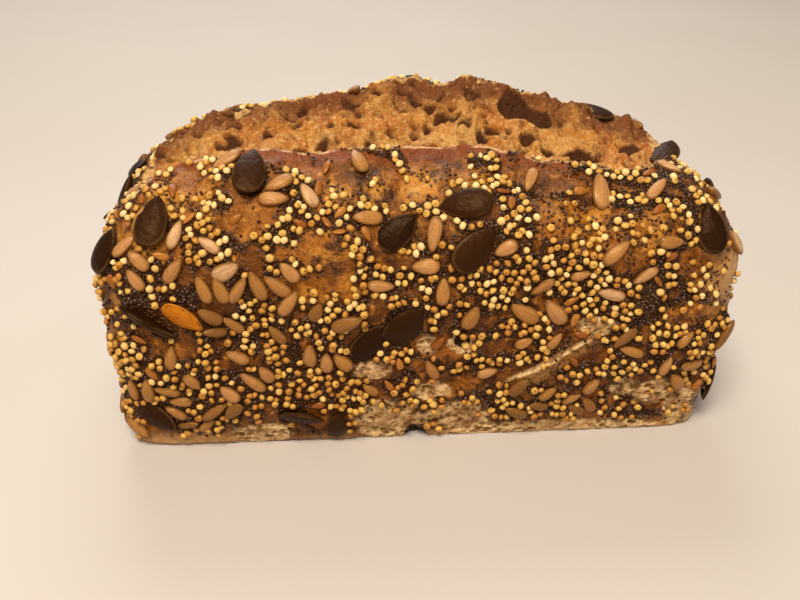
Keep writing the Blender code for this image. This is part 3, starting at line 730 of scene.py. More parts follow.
class Ground:
    """Circles where seeds already lie, looked up by the cell that they are in."""

    CELL = 0.0065

    def __init__(self):
        self.cells = {}

    def key(self, point):
        """The cell that this point is in."""
        return tuple(int(math.floor(value / self.CELL)) for value in point)

    def take(self, points, radii):
        """Keeps circles at these points as taken."""
        for point, radius in zip(points, radii):
            self.cells.setdefault(self.key(point), []).append((*point, radius))

    def free(self, points, radii, closeness):
        """Whether circles at these points would touch none of those that lie already."""
        for (x, y, z), radius in zip(points, radii):
            i, j, k = self.key((x, y, z))
            for di in (-1, 0, 1):
                for dj in (-1, 0, 1):
                    for dk in (-1, 0, 1):
                        for x2, y2, z2, other in self.cells.get((i + di, j + dj, k + dk), ()):
                            gap = (radius + other) * closeness
                            if (x - x2) ** 2 + (y - y2) ** 2 + (z - z2) ** 2 < gap * gap:
                                return False
        return True


def seed_circles(point, length, size):
    """Circles along a seed that cover it: their centres and radii."""
    long, wide, _ = size
    count = max(1, round(long / wide * 1.6)) if long > wide * 1.3 else 1
    reach = (long - wide * 0.8) / 2
    shares = np.linspace(-1, 1, count) if count > 1 else np.array([0.0])
    radii = wide / 2 * (1 - 0.25 * np.abs(shares))
    return [tuple(point + length * reach * share) for share in shares], radii.tolist()


def scatter(kind, size, wanted, ground):
    """Spreads seeds of a kind over the crust. Gives their places, axes and sizes as arrays."""
    draw = np.random.default_rng(SCATTER_SEEDS[kind])
    faces = list(BLOCK_FACES)
    areas = np.array([face_area(face) for face in faces])
    picked = draw.choice(len(faces), TRIES[kind], p=areas / areas.sum())
    places, outwards, keep = [], [], []
    for number, face in enumerate(faces):
        count = int((picked == number).sum())
        point, outward, crumb = seats(face, draw.uniform(-1, 1, count), draw.uniform(-1, 1, count))
        places.append(point)
        outwards.append(outward)
        clear = point[:, 2] > size[0] * BASE_CLEARANCE
        keep.append((crumb < SEED_CRUMB) & clear & (draw.random(count) < density(kind, point)))
    places, outwards, keep = np.concatenate(places), np.concatenate(outwards), np.concatenate(keep)
    order = draw.permutation(np.flatnonzero(keep))
    places, outwards = places[order], outwards[order]
    tips = draw.normal(0, TIPPED[kind], len(order))
    axes = seed_axes(outwards, draw.uniform(0, 2 * math.pi, len(order)), tips)
    scales = 1 + draw.uniform(-1, 1, len(order)) * SCATTER_SIZE_SPREAD
    chosen = []
    for index, (point, frame, scale) in enumerate(zip(places, axes, scales)):
        circles = seed_circles(point, frame[0], np.array(size) * scale)
        if ground.free(*circles, CLOSENESS[kind]):
            ground.take(*circles)
            chosen.append(index)
        if len(chosen) == wanted:
            break
    return places[chosen], axes[chosen], scales[chosen]


def seed_shape(size, around, top_rings, bottom_rings, blunt, fullness, tip=0.0):
    """A seed's surface: its corners, its faces, and how far along, across and out each corner is.
    blunt is how much narrower it gets towards its tip, and tip is how sharp that is."""
    length, width, thickness = size
    corners, shares, faces = [], [], []

    def ring(share, sign):
        start = len(corners)
        for step in range(around):
            angle = 2 * math.pi * step / around
            narrowing = 1 - blunt * ((1 + math.cos(angle)) / 2) ** 1.3
            power = 0.82 + tip * ((1 + math.cos(angle)) / 2) ** 2
            rounded = math.copysign(abs(math.sin(angle)) ** power, math.sin(angle))
            x = share * math.cos(angle) * length / 2
            y = share * rounded * width / 2 * narrowing * (1 + blunt * 0.4)
            corners.append((x, y, sign * thickness / 2 * (1 - share**2) ** fullness))
            shares.append((2 * x / length, 2 * y / width, share))
        return start

    def cap(starts, sign):
        middle = len(corners)
        corners.append((0, 0, sign * thickness / 2))
        shares.append((0, 0, 0))
        for step in range(around):
            after = (step + 1) % around
            for outer, inner in zip(starts, starts[1:]):
                face = (outer + step, outer + after, inner + after, inner + step)
                faces.append(face if sign > 0 else face[::-1])
            face = (starts[-1] + step, starts[-1] + after, middle)
            faces.append(face if sign > 0 else face[::-1])

    rim = ring(1.0, 1)
    cap([rim] + [ring(share, 1) for share in top_rings], 1)
    cap([rim] + [ring(share, -1) for share in bottom_rings], -1)
    return np.array(corners), faces, np.array(shares)


def seed_heap(name, shape, places, axes, scales, lift, tints, uneven=0.0):
    """One mesh with a seed of this shape at each place, each side of it uneven by up to this share."""
    corners, faces, shares = shape
    count, many = len(corners), len(places)
    draw = np.random.default_rng(RANDOM_SEED)
    raised = (corners + np.array([0, 0, lift])) * (1 + uneven * draw.uniform(-1, 1, (many, 1, 3)))
    points = places[:, None, :] + np.einsum("ncj,njk->nck", raised, axes * scales[:, None, None])
    starts = range(0, many * count, count)
    all_faces = [tuple(start + corner for corner in face) for start in starts for face in faces]
    mesh = bpy.data.meshes.new(name)
    mesh.from_pydata(points.reshape(-1, 3).tolist(), [], all_faces)
    set_values(mesh, "tint", np.repeat(tints, count))
    for number, value in enumerate(("along", "across", "out")):
        set_values(mesh, value, np.tile(shares[:, number], many))
    mesh.shade_smooth()
    return new_piece(name, mesh)


def set_values(mesh, name, values):
    """Writes one number for each corner of the mesh."""
    attribute = mesh.attributes.new(name, "FLOAT", "POINT")
    attribute.data.foreach_set("value", np.asarray(values, np.float32))


def new_piece(name, mesh):
    """An object with this mesh, in the scene."""
    piece = bpy.data.objects.new(name, mesh)
    bpy.context.scene.collection.objects.link(piece)
    return piece


def dents(first, second, rows):
    """The depth of round dents at each place. Rows give their place, radius and stretch along the first."""
    order = np.argsort(first)
    x, y = first[order], second[order]
    depth = np.zeros(len(x))
    for place, across, radius, stretch in rows:
        low, high = np.searchsorted(x, (place - radius * stretch, place + radius * stretch))
        apart = np.hypot((x[low:high] - place) / stretch, y[low:high] - across) / radius
        depth[low:high] = np.maximum(depth[low:high], radius * np.sqrt(np.clip(1 - apart**2, 0, 1)))
    unsorted = np.empty_like(depth)
    unsorted[order] = depth
    return unsorted


def crumb_pores(draw):
    """Rows for the pores between the lips."""
    smallest, largest = PORE_RADII
    for _ in range(PORES):
        place = draw.uniform(SCORE_LEFT_END, SCORE_RIGHT_END)
        front, back = lips(place)
        across = WIDE_HALF_WIDTH * draw.uniform(front, back)
        yield place, across, smallest + (largest - smallest) * draw.random() ** 3, draw.uniform(1, 1.7)


def torn_pores(draw):
    """Rows for the pores of the pale torn patches."""
    smallest, largest = TORN_PORE_RADII
    for x, z, half_length, half_height in PALE_PATCHES + BACK_PALE_PATCHES:
        for _ in range(round(TORN_PORES * 4 * half_length * half_height)):
            place, height = x + half_length * draw.uniform(-1, 1), z + half_height * draw.uniform(-1, 1)
            yield place, height, smallest + (largest - smallest) * draw.random() ** 2, draw.uniform(1, 1.8)


def fine_relief(points, crumb):
    """Relief too small for the solid, and pores: the grain and the torn places of the crust and the crumb."""
    draw = np.random.default_rng(PORE_SEED)
    grain = layers(points, CRUST_GRAIN) * (1 - crumb)
    grain += LIP_RIDGE * 4 * crumb * (1 - crumb) * (1 + ripple(points, LIP_WAVE, LIP_SEED))
    pale = pale_share(points)
    torn = pale > 0
    holes = dents(points[torn, 0], points[torn, 2], torn_pores(draw))
    grain[torn] -= (TORN_PORE_DEPTH * holes + TORN_DROP) * smooth(pale[torn] * 2)
    depth = np.zeros(len(points))
    inside = crumb > 0
    grain[inside] += layers(points[inside], CRUMB_GRAIN) * crumb[inside]
    pores = dents(points[inside, 0], points[inside, 1], crumb_pores(draw))
    depth[inside] = PORE_DEPTH * pores * crumb[inside]
    return grain, depth


def block_lines():
    """The grid's lines along, across and up the block."""
    length = np.linspace(-1, 1, LENGTH_CELLS + 1)
    low = -1 + np.linspace(0, 1, LOW_CELLS + 1) ** 1.15
    height = np.concatenate([low, np.linspace(0, 1, HIGH_CELLS + 1)[1:]])
    cross = np.concatenate(
        [
            np.linspace(-1, FRONT_LIP, FRONT_CELLS + 1),
            np.linspace(FRONT_LIP, BACK_LIP, SCORE_CELLS + 1)[1:],
            np.linspace(BACK_LIP, 1, BACK_CELLS + 1)[1:],
        ]
    )
    return length, cross, height


def build_crust():
    """The loaf's closed surface at full detail."""
    length, cross, height = block_lines()
    grids = {
        "front": (length, height),
        "back": (length, height),
        "left": (cross, height),
        "right": (cross, height),
        "top": (length, cross),
    }
    corners, cells, count = [], [], 0
    for face, lines in grids.items():
        a, b = np.meshgrid(*lines, indexing="ij")
        corners.append(np.stack(BLOCK_FACES[face](a.ravel(), b.ravel()), axis=1))
        index = count + np.arange(a.size).reshape(a.shape)
        loops = [index[:-1, :-1], index[1:, :-1], index[1:, 1:], index[:-1, 1:]]
        cells.append(np.stack(loops, axis=2).reshape(-1, 4))
        count += a.size
    corners, kept = np.unique(np.round(np.concatenate(corners), 6), axis=0, return_inverse=True)
    cells = kept.reshape(-1)[np.concatenate(cells)]
    mesh = bpy.data.meshes.new("crust")
    mesh.from_pydata(corners.tolist(), [], cells.tolist())
    block = bmesh.new()
    block.from_mesh(mesh)
    scored = [face for face in block.faces if is_detailed(face)]
    edges = list({edge for face in scored for edge in face.edges})
    bmesh.ops.subdivide_edges(block, edges=edges, cuts=SCORE_CUTS, use_grid_fill=True)
    bmesh.ops.holes_fill(block, edges=[edge for edge in block.edges if edge.is_boundary])
    bmesh.ops.triangulate(block, faces=[face for face in block.faces if len(face.verts) > 4])
    bmesh.ops.recalc_face_normals(block, faces=block.faces)
    block.to_mesh(mesh)
    block.free()

    places = np.zeros(len(mesh.vertices) * 3)
    mesh.vertices.foreach_get("co", places)
    along, across, level = places.reshape(-1, 3).T
    points, crumb = loaf(along, across, level, fine=fine_relief)
    mesh.vertices.foreach_set("co", points.ravel())
    plain, _ = loaf(along, across, level)
    way = np.clip((across - FRONT_LIP) / (BACK_LIP - FRONT_LIP), 0, 1)
    before = (FRONT_LIP - across) * WIDE_HALF_WIDTH / LIP_CRUST
    set_values(mesh, "crumb", crumb)
    set_values(mesh, "way", way)
    set_values(mesh, "lip", smooth(1 - np.abs(before)) * smooth((level - 0.5) / 0.3))
    moved = np.linalg.norm(points - plain, axis=1)
    # How deep pores and holes are, in millimetres, for the material's painted shade.
    set_values(mesh, "depth", moved * MILLIMETRES + hole_depth(plain) * crumb * MILLIMETRES)
    set_values(mesh, "pale", pale_share(points))
    set_values(mesh, "amber", patch_share(points, AMBER_PATCHES, 0.8))
    set_values(mesh, "tan", patch_share(points, TAN_PATCHES, 0.6))
    rim = smooth(1 - before * LIP_CRUST / FRAYED_WIDTH)
    set_values(mesh, "frayed", rim * (across < FRONT_LIP) * (level > 0.6))
    set_values(mesh, "carpet", np.clip(density("poppy", points), 0, 1) * (crumb < SEED_CRUMB))
    fade, below = fold_place(points)
    set_values(mesh, "flap", flap_share(points))
    set_values(mesh, "ridge", fade * np.exp(-(((below - FOLD_RIDGE) / FOLD_RIDGE) ** 2)))
    # Where the material paints shadow in the crease above the fold's ridge.
    set_values(mesh, "gap", fade * np.exp(-(((below + 1.6 * FOLD_RIDGE) / FOLD_RIDGE) ** 2)))
    # How deep in a pit each point is, for the painted shade inside the pits.
    set_values(mesh, "pit", pit_depth(plain) / (PIT_DEPTH_SHARE * FRONT_PITS[0][2]))
    mesh.shade_smooth()
    return new_piece("crust", mesh)


def is_detailed(face):
    """Whether a cell of the block gets a finer mesh: between the lips, at the fold and in torn crust."""
    middle = face.calc_center_median()
    scored = FRONT_LIP - 0.03 < middle.y < BACK_LIP + 0.03 and middle.z > 0.62
    x, z = middle.x * WIDE_HALF_LENGTH, (1 + middle.z) * WIDE_LEVEL
    if scored or abs(middle.y) < 0.999 or z > FOLD_END[1] + FOLD_WIDTH:
        return scored
    place = np.array([[x, WIDE_HALF_WIDTH * middle.y, z]])
    fade, below = fold_place(place)
    folded = fade[0] > 0 and abs(below[0]) < FOLD_WIDTH
    share = max(patch_share(place, PALE_PATCHES)[0], patch_share(place, BACK_PALE_PATCHES, side=1)[0])
    return folded or share > TORN_SHARE


def node(tree, kind, inputs=(), **settings):
    """A new node: settings are its own, and inputs are (name or number, value or socket to link)."""
    made = tree.nodes.new(kind)
    for name, value in settings.items():
        setattr(made, name, value)
    for name, value in inputs:
        if isinstance(value, bpy.types.NodeSocket):
            tree.links.new(value, made.inputs[name])
        elif isinstance(value, tuple) and len(value) == 3 and made.inputs[name].type == "RGBA":
            made.inputs[name].default_value = (*value, 1)
        else:
            made.inputs[name].default_value = value
    return made


def value_of(tree, name):
    """The number that the mesh keeps under this name."""
    return node(tree, "ShaderNodeAttribute", attribute_name=name).outputs["Fac"]


def maths(tree, operation, first, second):
    """The result of a calculation with two numbers, kept from 0 to 1."""
    made = node(tree, "ShaderNodeMath", [(0, first), (1, second)], operation=operation, use_clamp=True)
    return made.outputs[0]


def mix(tree, share, first, second):
    """A colour that goes from the first to the second as share goes from 0 to 1."""
    made = node(tree, "ShaderNodeMix", [(0, share), (6, first), (7, second)], data_type="RGBA")
    return made.outputs[2]


def grey(value):
    """A grey that stands for this number where colours are mixed."""
    return (value, value, value)


def between(tree, value, low, high):
    """0 where the value is at or under low and 1 where it is at or over high, with soft ends."""
    inputs = [("Value", value), ("From Min", low), ("From Max", high)]
    return node(tree, "ShaderNodeMapRange", inputs, interpolation_type="SMOOTHSTEP").outputs["Result"]


def stretched(tree, place, factors):
    """A place with its x, y and z multiplied by these factors."""
    inputs = [(0, place), (1, factors)]
    return node(tree, "ShaderNodeVectorMath", inputs, operation="MULTIPLY").outputs[0]


def noise(tree, scale, detail=3.0, roughness=0.55, squeeze=None):
    """Noise of about 1/scale metres, from 0 to 1. squeeze holds factors for its fineness along x, y and z."""
    place = node(tree, "ShaderNodeTexCoord").outputs["Object"]
    if squeeze:
        place = stretched(tree, place, squeeze)
    inputs = [("Vector", place), ("Scale", scale), ("Detail", detail), ("Roughness", roughness)]
    return node(tree, "ShaderNodeTexNoise", inputs).outputs["Fac"]


def cells(tree, scale):
    """The distance to the middle of the nearest cell, in shares of a cell."""
    place = node(tree, "ShaderNodeTexCoord").outputs["Object"]
    return node(tree, "ShaderNodeTexVoronoi", [("Vector", place), ("Scale", scale)]).outputs["Distance"]


def bump(tree, height, distance, strength=1.0, normal=None):
    """A normal that is roughened by this height, which is distance metres at 1."""
    inputs = [("Height", height), ("Distance", distance), ("Strength", strength)]
    if normal is not None:
        inputs.append(("Normal", normal))
    return node(tree, "ShaderNodeBump", inputs).outputs["Normal"]


def new_material(name, roughness):
    """A Principled material without metal, with its tree and its shader."""
    made = bpy.data.materials.new(name)
    made.use_nodes = True
    shader = made.node_tree.nodes["Principled BSDF"]
    shader.inputs["Roughness"].default_value = roughness
    shader.inputs["Metallic"].default_value = 0
    return made, made.node_tree, shader


# Colours of the crust and the crumb, as the shader takes them.
CRUST_BROWN = (0.120, 0.032, 0.003)
CRUST_AMBER = (0.245, 0.070, 0.005)
CRUST_GOLD = (0.47, 0.175, 0.018)
CRUST_HONEY = (0.60, 0.29, 0.065)
CRUST_DARK = (0.048, 0.0110, 0.0020)
CRUST_RED = (0.180, 0.034, 0.005)
CRUST_PALE = (0.72, 0.46, 0.21)
FLAP_BROWN = (0.26, 0.115, 0.025)
CRUST_TAN = (0.44, 0.235, 0.085)
# Painted shade in the deep pores of the torn crust.
TORN_PORE_SHADE = (0.20, 0.090, 0.026)
FRAYED_PALE = (0.56, 0.33, 0.145)
GLAZE = (1.0, 0.68, 0.40, 1)
CARPET_BASE = (0.038, 0.011, 0.002)
CARPET_SEED = (0.030, 0.012, 0.006)
CRUMB_GOLD = (0.41, 0.158, 0.024)
CRUMB_LIGHT = (0.58, 0.33, 0.11)
CRUMB_ORANGE = (0.34, 0.095, 0.011)
CRUMB_BURNT = (0.115, 0.030, 0.009)
# Painted shade: the black inside the front's pits.
PIT_SHADE = (0.014, 0.005, 0.002)
# Painted shade: the colour of deep pores, holes and the fold's crease.
RECESS_SHADE = (0.055, 0.015, 0.004)

# How rough the crust is: elsewhere, where it is bare, by the lip, and in the crumb.
CRUST_ROUGHNESS = 0.38
BARE_ROUGHNESS = 0.24
LIP_ROUGHNESS = 0.58
CRUMB_ROUGHNESS = 0.9

# Colours of the seeds.
PUMPKIN_DARK = (0.013, 0.0042, 0.0013)
PUMPKIN_BROWN = (0.027, 0.0090, 0.0024)
PUMPKIN_ORANGE = (0.50, 0.15, 0.008)
PUMPKIN_GLAZE = (1.0, 0.56, 0.28, 1)
PUMPKIN_RIM = (0.070, 0.033, 0.010)
KERNEL_PALE = (0.54, 0.30, 0.135)
KERNEL_TAN = (0.44, 0.195, 0.060)
KERNEL_GOLD = (0.36, 0.150, 0.032)
KERNEL_BROWN = (0.185, 0.072, 0.015)
MILLET_CREAM = (0.80, 0.55, 0.22)
MILLET_GOLD = (0.62, 0.34, 0.065)
MILLET_ORANGE = (0.42, 0.170, 0.026)
MILLET_SPOT = (0.11, 0.030, 0.006)
POPPY_DARK = (0.027, 0.010, 0.005)
POPPY_GREY = (0.140, 0.082, 0.060)
LINSEED_BROWN = (0.40, 0.145, 0.024)
LINSEED_DARK = (0.22, 0.060, 0.008)


def crust_colour(tree):
    """The baked crust's colour: brown to amber, with darker freckles."""
    broad, middle, small = noise(tree, 45), noise(tree, 160), noise(tree, 800, 4)
    skin = mix(tree, between(tree, broad, 0.38, 0.62), CRUST_BROWN, CRUST_AMBER)
    patchy = noise(tree, 110)
    bare = mix(tree, between(tree, patchy, 0.42, 0.62), CRUST_AMBER, CRUST_GOLD)
    bare = mix(tree, between(tree, patchy, 0.58, 0.76), bare, CRUST_HONEY)
    skin = mix(tree, value_of(tree, "amber"), skin, bare)
    skin = mix(tree, between(tree, noise(tree, 330), 0.55, 0.72), skin, CRUST_GOLD)
    skin = mix(tree, between(tree, middle, 0.46, 0.66), skin, CRUST_DARK)
    by_lip = maths(tree, "MULTIPLY", value_of(tree, "lip"), between(tree, broad, 0.2, 0.42))
    skin = mix(tree, by_lip, skin, CRUST_RED)
    skin = mix(tree, maths(tree, "MULTIPLY", between(tree, small, 0.50, 0.72), 0.6), skin, CRUST_DARK)
    tan = maths(tree, "MULTIPLY", value_of(tree, "tan"), between(tree, middle, 0.25, 0.42))
    return mix(tree, tan, skin, mix(tree, between(tree, noise(tree, 300), 0.5, 0.7), CRUST_TAN, CRUST_GOLD))


def crumb_colour(tree):
    """The torn crumb's colour: pale by the front lip, burnt along the back lip, with painted shade in the
    pores.
    """
    broad, fine, way = noise(tree, 75), noise(tree, 850, 5, 0.65), value_of(tree, "way")
    inner = mix(tree, between(tree, broad, 0.40, 0.62), CRUMB_GOLD, CRUMB_ORANGE)
    by_lip = between(tree, noise(tree, 170), 0.36, 0.60)
    by_lip = maths(tree, "MULTIPLY", between(tree, way, 0.65, 0.05), by_lip)
    inner = mix(tree, maths(tree, "MULTIPLY", by_lip, 0.8), inner, CRUMB_LIGHT)
    inner = mix(tree, maths(tree, "MULTIPLY", between(tree, fine, 0.44, 0.66), 0.65), inner, CRUMB_LIGHT)
    spots = between(tree, noise(tree, 330), 0.52, 0.72)
    inner = mix(tree, maths(tree, "MULTIPLY", spots, 0.7), inner, CRUMB_BURNT)
    burnt = between(tree, maths(tree, "MULTIPLY", way, maths(tree, "ADD", noise(tree, 90), 0.42)), 0.45, 0.80)
    inner = mix(tree, maths(tree, "MULTIPLY", burnt, 0.88), inner, CRUMB_BURNT)
    inner = mix(tree, maths(tree, "MULTIPLY", between(tree, fine, 0.58, 0.72), 0.8), inner, CRUMB_LIGHT)
    # Painted shade: darker where the pores and holes are deeper.
    return mix(tree, between(tree, value_of(tree, "depth"), 0.25, 1.7), inner, RECESS_SHADE)


def crust_material():
    """Baked crust with bare, pale and poppy-covered places, and the torn crumb of the score."""
    made, tree, shader = new_material("crust", 0.5)
    crumb, amber, carpet = (value_of(tree, name) for name in ("crumb", "amber", "carpet"))
    skin = crust_colour(tree)

    ragged = maths(tree, "MULTIPLY", value_of(tree, "pale"), maths(tree, "ADD", noise(tree, 320, 4), 0.30))
    pale = between(tree, ragged, 0.34, 0.62)
    pores = noise(tree, 650, 4, 0.6, squeeze=(0.6, 1, 1))
    torn = mix(tree, between(tree, noise(tree, 240), 0.42, 0.62), CRUST_PALE, CRUST_TAN)
    # Painted shade: amber in the pores that the bump below dents, and darker still where the modelled pores
    # are deep.
    torn = mix(tree, between(tree, pores, 0.54, 0.70), torn, CRUST_AMBER)
    torn = mix(tree, between(tree, value_of(tree, "depth"), 0.40, 1.1), torn, TORN_PORE_SHADE)
    skin = mix(tree, pale, skin, torn)
    flap = mix(tree, between(tree, noise(tree, 900), 0.52, 0.62), FLAP_BROWN, CRUST_DARK)
    skin = mix(tree, value_of(tree, "flap"), skin, flap)
    ridge = maths(tree, "MULTIPLY", value_of(tree, "ridge"), between(tree, noise(tree, 420), 0.38, 0.54))
    skin = mix(tree, ridge, skin, CRUST_PALE)
    # Painted shadow in the crease above the fold's ridge.
    skin = mix(tree, value_of(tree, "gap"), skin, RECESS_SHADE)
    # Painted shade: the pits are black inside.
    skin = mix(tree, between(tree, value_of(tree, "pit"), 0.3, 0.6), skin, PIT_SHADE)

    grains = cells(tree, 1050)
    covered = maths(tree, "MULTIPLY", carpet, maths(tree, "ADD", noise(tree, 170), 0.45))
    covered = between(tree, covered, 0.35, 0.7)
    seeds = mix(tree, between(tree, grains, 0.25, 0.5), CARPET_SEED, CARPET_BASE)
    # Painted highlight: a grey speck at the middle of each poppy grain of the carpet.
    seeds = mix(tree, between(tree, grains, 0.14, 0.05), seeds, POPPY_GREY)
    skin = mix(tree, maths(tree, "MULTIPLY", covered, 0.9), skin, seeds)

    edge = maths(tree, "MULTIPLY", between(tree, crumb, 0.02, 0.3), between(tree, crumb, 0.98, 0.7))
    colour = mix(tree, between(tree, crumb, 0.1, 0.6), skin, crumb_colour(tree))
    edge = maths(tree, "MULTIPLY", edge, between(tree, noise(tree, 330), 0.35, 0.55))
    colour = mix(tree, edge, colour, CRUMB_LIGHT)
    frayed = maths(tree, "MULTIPLY", value_of(tree, "frayed"), noise(tree, 620, 5, 0.7))
    broken = between(tree, noise(tree, 170), 0.44, 0.60)
    frayed = maths(tree, "MULTIPLY", between(tree, frayed, 0.22, 0.46), broken)
    colour = mix(tree, frayed, colour, FRAYED_PALE)
    tree.links.new(colour, shader.inputs["Base Color"])
    rough = mix(tree, amber, grey(CRUST_ROUGHNESS), grey(BARE_ROUGHNESS))
    rough = mix(tree, value_of(tree, "lip"), rough, grey(LIP_ROUGHNESS))
    rough = mix(tree, crumb, rough, grey(CRUMB_ROUGHNESS))
    tree.links.new(rough, shader.inputs["Roughness"])
    shader.inputs["Specular IOR Level"].default_value = 0.4
    shader.inputs["Specular Tint"].default_value = GLAZE
    grain = bump(tree, noise(tree, 800, 4), 0.0010, 0.9)
    grain = bump(tree, maths(tree, "MULTIPLY", pores, pale), -0.0012, 1.0, grain)
    grain = bump(tree, noise(tree, 300), 0.0018, 0.9, grain)
    seeded = maths(tree, "MULTIPLY", maths(tree, "SUBTRACT", 1.0, grains), covered)
    tree.links.new(bump(tree, seeded, 0.0010, 0.9, grain), shader.inputs["Normal"])
    return made


def streaks(tree):
    """Fine noise drawn out along a seed, from 0 to 1, another one for each seed."""
    along, across, tint = (value_of(tree, name) for name in ("along", "across", "tint"))
    apart = node(tree, "ShaderNodeMath", [(0, tint), (1, 40.0)], operation="MULTIPLY").outputs[0]
    place = node(tree, "ShaderNodeCombineXYZ", [(0, along), (1, across), (2, apart)]).outputs[0]
    inputs = [("Vector", stretched(tree, place, (0.7, 5.0, 1.0))), ("Scale", 1.0), ("Detail", 2.0)]
    return node(tree, "ShaderNodeTexNoise", inputs).outputs["Fac"]


def seed_material(name, colours, roughness, grain=900, relief=0.00015, streak_and_edge_shade=None, rim=None, mottled=None):
    """A seed's skin: tint picks between the colours, and streaks, spots and a rim have theirs."""
    made, tree, shader = new_material(name, roughness)
    mottled = mottled or tuple(part * 0.45 for part in colours[-1])
    tint = value_of(tree, "tint")
    colour = colours[0]
    for number, after in enumerate(colours[1:]):
        start = number / (len(colours) - 1)
        colour = mix(tree, between(tree, tint, start, start + 1 / (len(colours) - 1)), colour, after)
    height = noise(tree, grain)
    colour = mix(tree, between(tree, height, 0.5, 0.95), colour, mottled)
    if streak_and_edge_shade:
        lines = streaks(tree)
        colour = mix(tree, maths(tree, "MULTIPLY", between(tree, lines, 0.45, 0.7), 0.36), colour, streak_and_edge_shade)
        # Darker towards each seed's edge: partly a brown rim, partly painted contact shade.
        colour = mix(tree, between(tree, value_of(tree, "out"), 0.66, 1.0), colour, streak_and_edge_shade)
        height = maths(tree, "SUBTRACT", 1.0, lines)
    if rim:
        out = value_of(tree, "out")
        line = maths(tree, "MULTIPLY", between(tree, out, 0.84, 0.90), between(tree, out, 1.0, 0.95))
        line = maths(tree, "MULTIPLY", line, between(tree, noise(tree, 120), 0.4, 0.6))
        colour = mix(tree, line, colour, rim)
    shader.inputs["Specular IOR Level"].default_value = 0.35
    shader.inputs["Specular Tint"].default_value = GLAZE
    tree.links.new(colour, shader.inputs["Base Color"])
    tree.links.new(bump(tree, height, relief), shader.inputs["Normal"])
    return made, tree, shader, colour


def millet_material():
    """Millet: cream to gold, with a brown spot at one end of each grain."""
    made, tree, shader, colour = seed_material("millet", (MILLET_CREAM, MILLET_GOLD, MILLET_ORANGE), 0.34)
    spot = between(tree, value_of(tree, "out"), 0.42, 0.05)
    marked = maths(tree, "MULTIPLY", spot, between(tree, value_of(tree, "tint"), 0.25, 0.6))
    tree.links.new(mix(tree, marked, colour, MILLET_SPOT), shader.inputs["Base Color"])
    return made


def dress(piece, material):
    """Gives a piece its material and its place in the frame."""
    piece.data.materials.append(material)
    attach(piece, "root")


def build_seeds():
    """Every kind of seed as one piece, from the largest to the smallest."""
    ground = Ground()
    modelled = {"pumpkin": [], "kernel": []}
    for kind, point, axes, size in modelled_seeds():
        modelled[kind].append((point, axes, size))
        ground.take(*seed_circles(point, axes[0], np.array(PUMPKIN if kind == "pumpkin" else KERNEL) * size))
    draw = np.random.default_rng(RANDOM_SEED)

    places, axes, sizes = (np.array(part) for part in zip(*modelled["pumpkin"]))
    tints = draw.uniform(0, 0.5, len(places))
    tints[ORANGE_PUMPKIN] = 1.0
    top_rings = (0.97, 0.92, 0.85, 0.72, 0.50, 0.25)
    shape = seed_shape(PUMPKIN, 32, top_rings, (0.8, 0.4), blunt=0.36, fullness=0.55, tip=0.9)
    lift = PUMPKIN[2] * (0.5 - SUNK_SHARE)
    pumpkins = seed_heap("pumpkin_seeds", shape, places, axes, sizes, lift, tints)
    colours = (PUMPKIN_DARK, PUMPKIN_BROWN, PUMPKIN_ORANGE)
    material, _, shader, _ = seed_material(
        "pumpkin_seed", colours, 0.40, grain=420, relief=0.0005, rim=PUMPKIN_RIM, mottled=PUMPKIN_DARK
    )
    shader.inputs["Specular IOR Level"].default_value = 0.12
    shader.inputs["Specular Tint"].default_value = PUMPKIN_GLAZE
    dress(pumpkins, material)

    places, axes, sizes = (np.array(part) for part in zip(*modelled["kernel"]))
    more = scatter("kernel", KERNEL, MORE_KERNELS, ground)
    places, axes, sizes = (np.concatenate(pair) for pair in zip((places, axes, sizes), more))
    # Kernels lower down lean to brown: partly browner baking in the tin, partly painted shade.
    tints = np.clip(0.90 - places[:, 2] / 0.14 + draw.normal(0, 0.25, len(places)), 0, 1)
    shape = seed_shape(KERNEL, 16, (0.95, 0.82, 0.5), (0.7,), blunt=0.38, fullness=0.46, tip=0.25)
    lift = KERNEL[2] * (0.5 - SUNK_SHARE)
    kernels = seed_heap("sunflower_kernels", shape, places, axes, sizes, lift, tints, uneven=0.14)
    colours = (KERNEL_PALE, KERNEL_TAN, KERNEL_GOLD, KERNEL_BROWN)
    skin = seed_material("sunflower_kernel", colours, 0.27, grain=1200, relief=0.0003, streak_and_edge_shade=KERNEL_BROWN)
    dress(kernels, skin[0])

    places, axes, sizes = scatter("linseed", LINSEED, LINSEEDS, ground)
    shape = seed_shape(LINSEED, 12, (0.85, 0.5), (0.6,), blunt=0.45, fullness=0.5, tip=0.4)
    linseeds = seed_heap("linseeds", shape, places, axes, sizes, LINSEED[2] * 0.35, draw.random(len(places)))
    dress(linseeds, seed_material("linseed", (LINSEED_BROWN, LINSEED_DARK), 0.3)[0])

    places, axes, sizes = scatter("millet", MILLET, MILLETS, ground)
    places = places + axes[:, 2] * MILLET[2] * MILLET_LIFT
    shape = seed_shape(MILLET, 10, (0.87, 0.4), (), blunt=0.0, fullness=0.5)
    # Grains lower down lean to gold and orange: painted shade and painted warm bounce light, over a random
    # tone.
    tints = np.clip(draw.random(len(places)) + 0.35 - places[:, 2] / 0.17, 0, 1)
    millets = seed_heap("millet", shape, places, axes, sizes, 0, tints, uneven=0.08)
    dress(millets, millet_material())

    places, axes, sizes = scatter("poppy", POPPY, POPPIES, ground)
    shape = seed_shape(POPPY, 5, (), (), blunt=0.0, fullness=0.5)
    tints = draw.random(len(places)) ** 1.5
    poppies = seed_heap("poppy_seeds", shape, places, axes, sizes, POPPY[2] * 0.25, tints)
    skin = seed_material("poppy_seed", (POPPY_DARK, POPPY_GREY), 0.38, grain=2500, relief=0.0001)
    dress(poppies, skin[0])


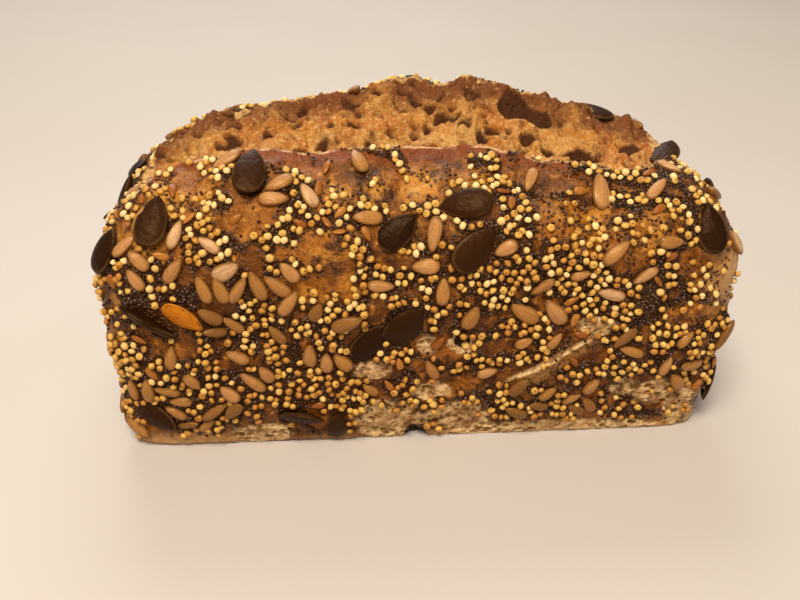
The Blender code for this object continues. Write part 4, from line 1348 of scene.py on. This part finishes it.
def floor_material():
    """Plain pale floor."""
    made, tree, shader = new_material("floor", 0.6)
    tone = mix(tree, noise(tree, 6, 2), *FLOOR_TONES)
    tree.links.new(tone, shader.inputs["Base Color"])
    return made


def build_stage():
    """The floor, the lights and the sky."""
    mesh = bpy.data.meshes.new("floor")
    half = FLOOR_HALF
    corners = [(-half, -half, 0), (half, -half, 0), (half, half, 0), (-half, half, 0)]
    mesh.from_pydata(corners, [], [(0, 1, 2, 3)])
    floor = new_piece("floor", mesh)
    floor.data.materials.append(floor_material())
    floor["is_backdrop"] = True

    world = bpy.data.worlds.new("sky")
    bpy.context.scene.world = world
    world.use_nodes = True
    world.node_tree.nodes["Background"].inputs["Color"].default_value = SKY
    world.node_tree.nodes["Background"].inputs["Strength"].default_value = SKY_STRENGTH
    for name, place, aim, size, power, colour in LIGHTS:
        light = bpy.data.lights.new(name, "AREA")
        light.size = size
        light.energy = power
        light.color = colour
        lamp = bpy.data.objects.new(name, light)
        lamp.location = place
        lamp.rotation_euler = (Vector(aim) - Vector(place)).to_track_quat("-Z", "Y").to_euler()
        bpy.context.scene.collection.objects.link(lamp)


def build_camera():
    """The photograph's camera."""
    lens = bpy.data.cameras.new("camera")
    lens.sensor_width = SENSOR
    lens.lens = LENS
    lens.clip_start = CLIP_START
    camera = bpy.data.objects.new("camera", lens)
    camera.location = CAMERA_PLACE
    camera.rotation_euler = (math.radians(90 - CAMERA_PITCH), 0, math.radians(CAMERA_HEADING))
    bpy.context.scene.collection.objects.link(camera)
    bpy.context.scene.camera = camera


def write_sizes(solid_box):
    """Gathers the solid's box and the dressed loaf's box as plain lists of numbers."""
    boxes = {"solid": solid_box, "dressed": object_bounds()}
    plain = {name: [list(map(float, corner)) for corner in box] for name, box in boxes.items()}


def main():
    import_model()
    solid_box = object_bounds()
    bpy.context.scene.view_settings.view_transform = "Standard"
    crust = build_crust()
    dress(crust, crust_material())
    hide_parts("loaf")
    build_seeds()
    build_stage()
    build_camera()
    write_sizes(solid_box)


main()
